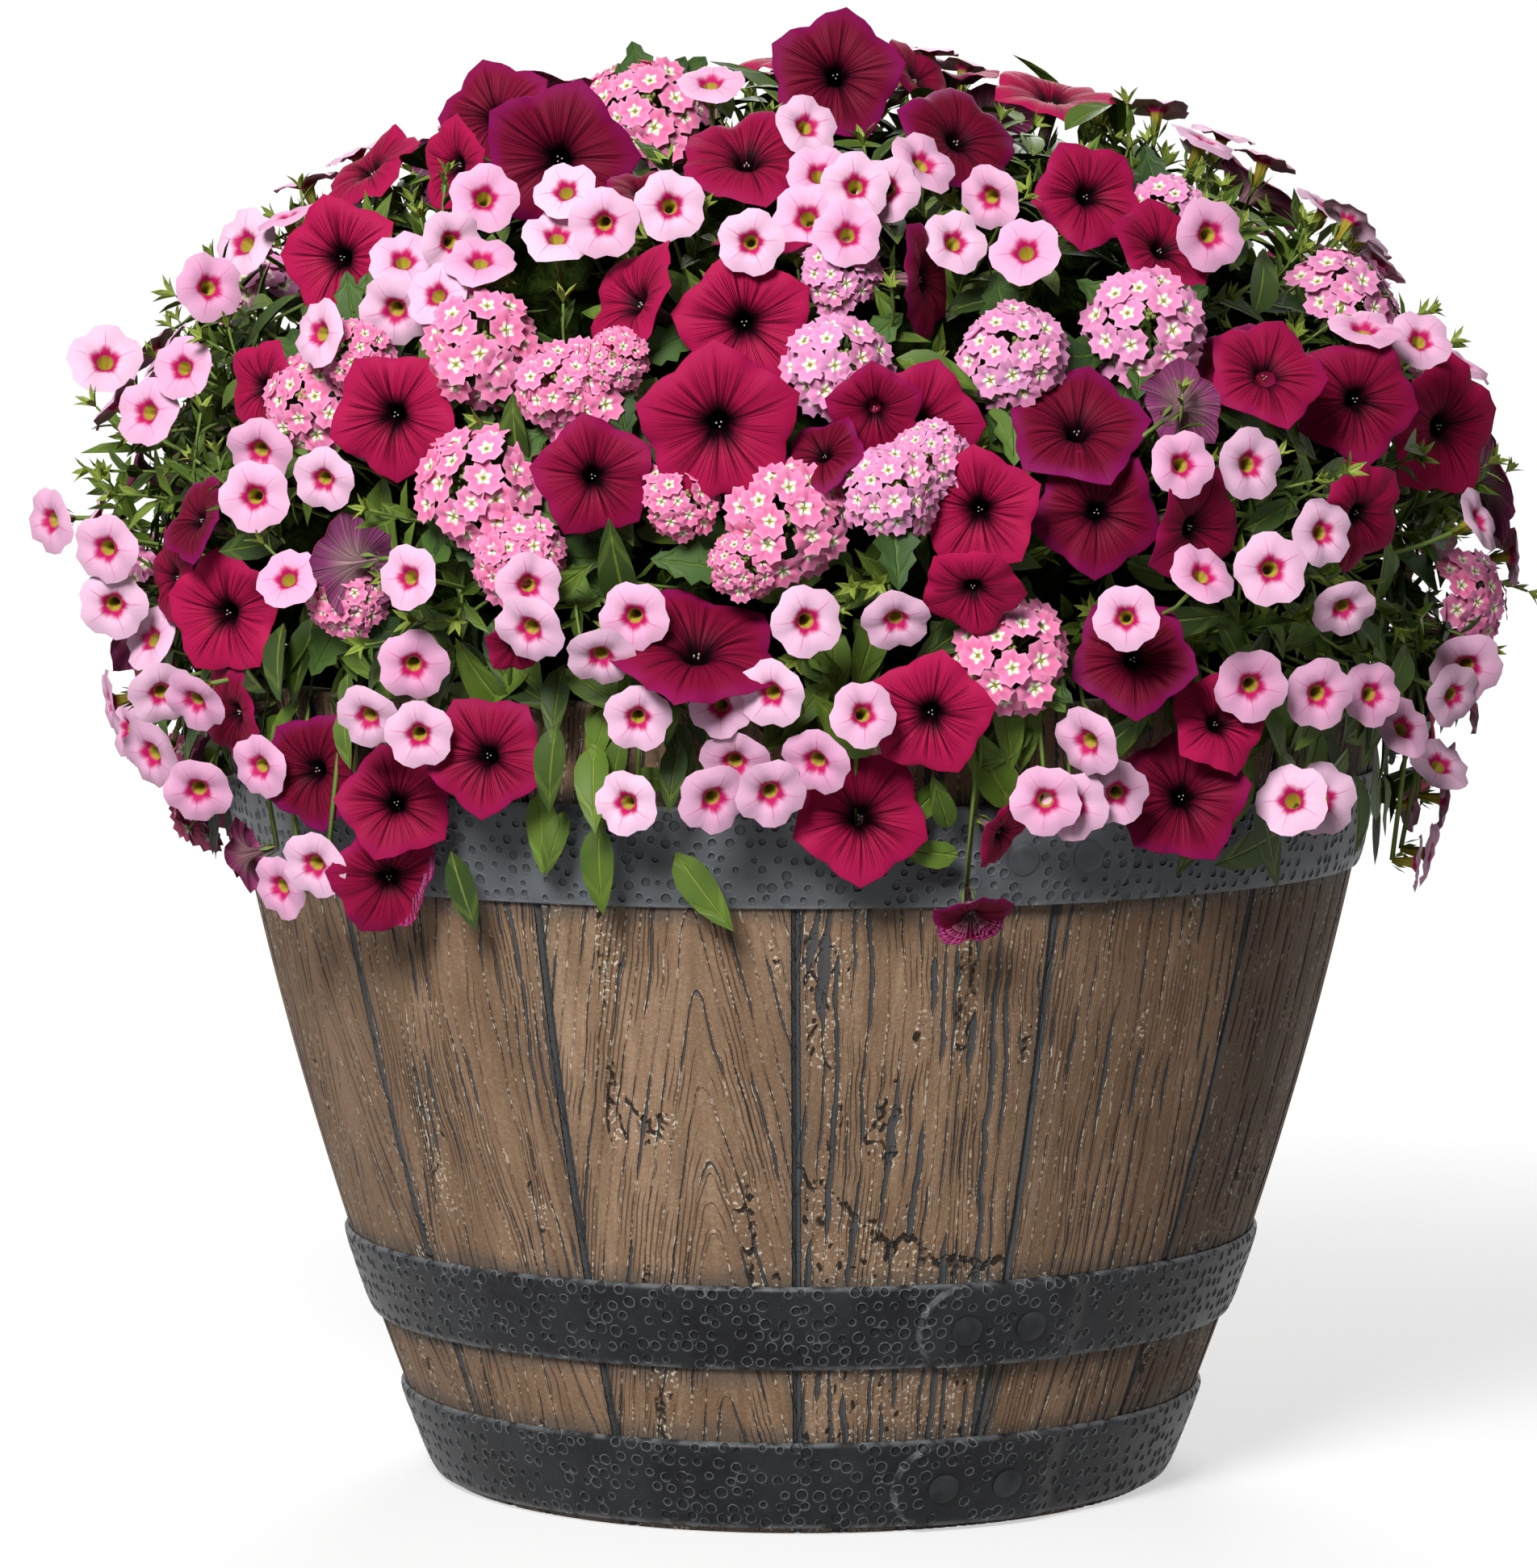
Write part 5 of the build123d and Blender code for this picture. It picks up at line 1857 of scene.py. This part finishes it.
def stamped(name, low, high, seed):
    """Hoop rolled from a grid onto the CAD strap's outer face, crowned and dented."""
    source = nodes[name].data
    tree = BVHTree.FromPolygons([vertex.co for vertex in source.vertices],
                                [tuple(face.vertices) for face in source.polygons])
    across_rows = round((high - low) / HOOP_CELL)
    rows = np.linspace(low + EDGE_INSET, high - EDGE_INSET, across_rows + 1)
    middle_face = face_of(tree, math.pi, (low + high) / 2)
    columns = round(FULL_TURN * middle_face / HOOP_CELL)
    azimuths = (np.arange(columns) / columns - 0.5) * FULL_TURN
    radii = strap_faces(tree, azimuths, rows)
    ring = across_rows + 3
    piece = new_piece("stamped_" + name, bpy.ops.mesh.primitive_grid_add,
                      x_subdivisions=columns, y_subdivisions=ring, size=1)
    bpy.ops.object.mode_set(mode="OBJECT")
    flat = points_of(piece.data)
    column = np.rint((flat[:, 0] + 0.5) * columns).astype(int) % columns
    row = np.rint((flat[:, 1] + 0.5) * ring).astype(int) % ring
    outer = row <= across_rows
    face_row = np.minimum(row, across_rows)
    height = np.where(outer, rows[face_row], np.where(row == ring - 2, high, low))
    inner = face_radius(height) + HOOP_CLEARANCE
    radius = np.where(outer, radii[column, face_row], inner)
    height = np.where(outer & (row == 0), low, np.where(outer & (row == across_rows), high, height))
    off_middle = np.abs(height - (low + high) / 2) / ((high - low) / 2)
    length = FULL_TURN * middle_face
    along = (azimuths[column] + math.pi) * middle_face
    rivets = [((azimuth + math.pi) * middle_face, level) for azimuth, level in rivet_places(name)]
    beyond, size = dent_field(along, height, length, low, high, rivets, seed)
    bowl = np.clip(1 - ((beyond + size) / size) ** 2, 0, 1)
    lip = np.exp(-((beyond - 0.35 * MM) / (0.35 * MM)) ** 2)
    pressed = CROWN * off_middle ** 6 + DENT_DEPTH * bowl - DENT_LIP * lip
    radius = radius - np.where(outer, pressed, 0)
    move_points(piece.data, round_places(radius, azimuths[column], height))
    rise = sum(np.abs(radii - np.roll(radii, side, axis=0)) for side in (1, -1))
    keep_numbers(piece.data, dent=beyond, step=rise[column, face_row] / HOOP_CELL)
    bpy.ops.object.mode_set(mode="EDIT")
    seal(close=False)
    bpy.ops.object.shade_smooth_by_angle(angle=math.radians(50))
    print(piece.name, "has", len(piece.data.polygons), "faces")
    return piece


HOOPS = {"bottom_hoop": HOOP_EDGES[0], "middle_hoop": HOOP_EDGES[1], "top_hoop": HOOP_EDGES[2]}
hoops = []
for seed, (name, (low, high)) in enumerate(HOOPS.items()):
    hoop = stamped(name, low * MM, high * MM, 60 + seed)
    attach(hoop, "planter")
    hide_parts(name)
    hoops.append(hoop)

# %% [markdown]
# The hoops' finish is charcoal paint over iron. It is nearly black and a little blue. The top hoop
# and its rivets are greyer: painted light. The dents are darkened as painted shade, and their rims,
# the hoops' edges and the lap's step are rubbed pale, partly as worn paint and partly as painted
# highlight.

# %% Hoop and rivet finishes
CHARCOAL = (0.0070, 0.0074, 0.0088)
# painted light: the top hoop and its rivets are mixed towards this grey
TOP_LIT_GREY = (0.118, 0.127, 0.139)
# pale grey for worn paint and for painted highlight
WEAR_AND_HIGHLIGHT_GREY = (0.215, 0.222, 0.232)
# painted shade for the inside of the dents
DENT_SHADE_BLACK = (0.010, 0.011, 0.013)
TOP_HOOP_FROM = (0.20, 0.24)


def iron_finish(start):
    """Charcoal paint, with painted shade in the dents and pale rubs on their rims, edges and step that are
    partly wear and partly painted highlight.
    """
    place, (_, _, z) = object_place(start)
    beyond = start.attribute("dent") + (place.noise(420.0, 2) - 0.5) * 0.5 * MM
    dent = beyond.rise(0.15 * MM, -0.55 * MM)
    lip = (beyond - 0.30 * MM) / (0.32 * MM)
    lip = (lip * lip * -1).math("EXPONENT") * place.noise(190.0, 2).rise(0.35, 0.60)
    edge = off_hoop_edge(z).rise(2.6 * MM, 0.4 * MM)
    cloud = place.noise(28.0, 4, 0.6)
    grit = place.noise(900.0, 2)
    # painted light: the top hoop is mixed towards the lighter grey; the cloud adds a little random tone
    body = (cloud.rise(0.3, 0.7) * 0.14 + z.rise(*TOP_HOOP_FROM) * 0.86).mix(CHARCOAL, TOP_LIT_GREY)
    worn = place.noise(120.0, 3).rise(0.35, 0.6)
    step = start.attribute("step").rise(0.8, 2.2)
    # worn paint and painted highlight on the dents' rims, the hoops' edges and the lap's step
    wear_and_highlight = lip * 0.60 + edge * worn * 0.45 + step * worn * 0.35 + grit.rise(0.62, 0.75) * 0.12
    body = wear_and_highlight.clamped().mix(body, WEAR_AND_HIGHLIGHT_GREY)
    # painted shade: the dents are darkened
    body = (dent * 0.35).mix(body, DENT_SHADE_BLACK)
    relief = (dent * -0.8 + lip * 0.5 + cloud * 0.5 + grit * 0.12).bump(0.8 * MM)
    return {"Base Color": body, "Normal": relief, "Roughness": cloud * 0.2 + 0.30}


def rivet_finish(start):
    """The same paint on the smooth rivet heads, greyer on the top hoop as painted light."""
    place, (_, _, z) = object_place(start)
    cloud = place.noise(45.0, 4, 0.6)
    grit = place.noise(700.0, 2)
    # painted light: the rivets of the top hoop are greyer
    body = (cloud.rise(0.3, 0.7) * 0.25 + z.rise(*TOP_HOOP_FROM) * 0.7).mix(CHARCOAL, TOP_LIT_GREY)
    relief = (cloud + grit * 0.3).bump(0.5 * MM)
    return {"Base Color": body, "Normal": relief, "Roughness": cloud * 0.2 + 0.36}


iron = finish("stamped_iron", iron_finish, specular_ior_level=0.16)
rivet_iron = finish("rivet_iron", rivet_finish, specular_ior_level=0.16)


def repaint(name, paint):
    """Give a carried-over CAD node its finish."""
    thing = nodes[name]
    thing.data.materials.clear()
    thing.data.materials.append(paint)


for hoop in hoops:
    hoop.data.materials.append(iron)
for name in HOOPS:
    repaint(name + "_rivets", rivet_iron)
print("hoops and rivets painted:", ", ".join(HOOPS))

# %% [markdown]
# The head is five oak boards held in line by dowels. It is out of the weather but under damp
# potting mix, so it is darker than bare oak, with its grain along the boards.

# %% Head and dowel finishes
HEAD_SHADE = (0.105, 0.062, 0.034)
HEAD_OAK = (0.235, 0.150, 0.085)
DAMP_OAK = (0.070, 0.046, 0.030)
PORE = (0.045, 0.028, 0.017)
BEECH_SHADE = (0.30, 0.21, 0.12)
BEECH = (0.48, 0.36, 0.22)


def head_finish(start):
    """Damp oak with its grain along X."""
    place, _ = object_place(start)
    grain = place.noise(38.0, 5, 0.6, stretch=(0.10, 1, 1))
    pores = place.noise(420.0, 2, stretch=(0.06, 1, 1))
    damp = place.noise(9.0, 3)
    body = grain.rise(0.3, 0.7).mix(HEAD_SHADE, HEAD_OAK)
    body = (damp.rise(0.4, 0.7) * 0.6).mix(body, DAMP_OAK)
    body = (pores.rise(0.62, 0.72) * 0.6).mix(body, PORE)
    return {"Base Color": body, "Normal": (grain * 0.6 - pores * 0.4).bump(0.8 * MM)}


def dowel_finish(start):
    """Pale beech with its grain along Y."""
    place, _ = object_place(start)
    grain = place.noise(120.0, 4, 0.6, stretch=(1, 0.1, 1))
    return {"Base Color": grain.mix(BEECH_SHADE, BEECH), "Normal": grain.bump(0.3 * MM)}


head_paint = finish("head_oak", head_finish, roughness=0.75)
dowel_paint = finish("dowel_beech", dowel_finish, roughness=0.6)
head_boards = [name for name in nodes if name.startswith("head_board")]
for name in head_boards:
    repaint(name, head_paint)
repaint("head_dowels", dowel_paint)
print("head boards painted:", len(head_boards))

# %% [markdown]
# The plants stand in a ball of potting mix that roots hold together. It is seen when the planting
# is lifted out, so it is a real lumpy body with pale roots on it and not a smooth plug. Rings
# are extruded up the inside of the staves, drawn in over the top, closed, and pushed inwards by
# noise.

# %% Root ball
SOIL_LOW = 48.4 * MM
SOIL_TOP = 325.8 * MM
SOIL_PLAY = 0.9 * MM
SOIL_SIDES = 120
SOIL_ROWS = 52
TOP_RINGS = (0.85, 0.6, 0.35, 0.12)
SOIL_BLACK = (0.010, 0.006, 0.004)
SOIL_BROWN = (0.060, 0.036, 0.021)
ROOT_CREAM = (0.50, 0.42, 0.28)
PERLITE_WHITE = (0.55, 0.52, 0.46)
soil = new_piece("root_ball", bpy.ops.mesh.primitive_circle_add,
                 vertices=SOIL_SIDES, radius=1, fill_type="NOTHING")
soil_heights = np.linspace(SOIL_LOW, SOIL_TOP, SOIL_ROWS)
bpy.ops.transform.translate(value=(0, 0, SOIL_LOW))
for step in np.diff(soil_heights):
    bpy.ops.mesh.extrude_edges_move(TRANSFORM_OT_translate={"value": (0, 0, step)})
for share in TOP_RINGS:
    bpy.ops.mesh.extrude_edges_move()
    bpy.ops.transform.resize(value=(share, share, 1), center_override=(0, 0, SOIL_TOP))
seal(weld=False)
points = points_of(soil.data)
room = face_radius(points[:, 2], STAVE_THICKNESS) - SOIL_PLAY
turn = np.arctan2(points[:, 1], points[:, 0])
share = np.hypot(points[:, 0], points[:, 1])
across = room * share
points[:, 0] = across * np.cos(turn)
points[:, 1] = across * np.sin(turn)
dent = 2.6 * MM * (1 + lumps(points, 0.030, 5)) + 1.2 * MM * (1 + lumps(points, 0.010, 6))
side = share > 0.99
points[:, :2] *= np.where(side, 1 - dent / np.maximum(across, MM), 1)[:, None]
points[:, 2] -= np.where((points[:, 2] > SOIL_TOP - MM) & ~side, dent * 1.6, 0)
move_points(soil.data, points)
bpy.ops.object.shade_smooth_by_angle(angle=math.radians(40))


def soil_finish(start):
    """Dark crumbs with pale roots and white perlite."""
    place, _ = object_place(start)
    crumb = place.noise(170.0, 5, 0.7)
    body = crumb.rise(0.35, 0.68).mix(SOIL_BLACK, SOIL_BROWN)
    bent = place.moved_by(place.noise(14.0, 3, output=1), 0.09)
    root = thin_line(bent.noise(24.0, 2), 0.014) + thin_line(bent.noise(41.0, 2), 0.010)
    root = root.clamped() * place.noise(11.0, 2).rise(0.42, 0.56)
    body = (root * 0.8).mix(body, ROOT_CREAM)
    entries = {"Vector": place, "Scale": 120.0}
    perlite = place.node("ShaderNodeTexVoronoi", None, entries, "Distance")
    body = perlite.rise(0.16, 0.12).mix(body, PERLITE_WHITE)
    return {"Base Color": body, "Normal": (crumb + root * 0.4).bump(2.2 * MM)}


soil.data.materials.append(finish("potting_mix", soil_finish, roughness=0.95))
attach(soil, "planting")
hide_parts("potting_soil")
print("root ball faces:", len(soil.data.polygons))

# %% [markdown]
# The last step measures the whole object again and sets both boxes, the CAD model's and this
# one's, side by side as plain lists, and counts the triangles.

# %% Measure the boxes and finish
def rows(box):
    """A box as plain lists of numbers."""
    return [[float(part) for part in corner] for corner in box]


{"cad": rows(cad_box), "visual": rows(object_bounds())}
shown = [thing for thing in bpy.data.objects if thing.type == "MESH" and not thing.hide_render]
print("triangles:", sum(len(face.vertices) - 2 for thing in shown for face in thing.data.polygons))
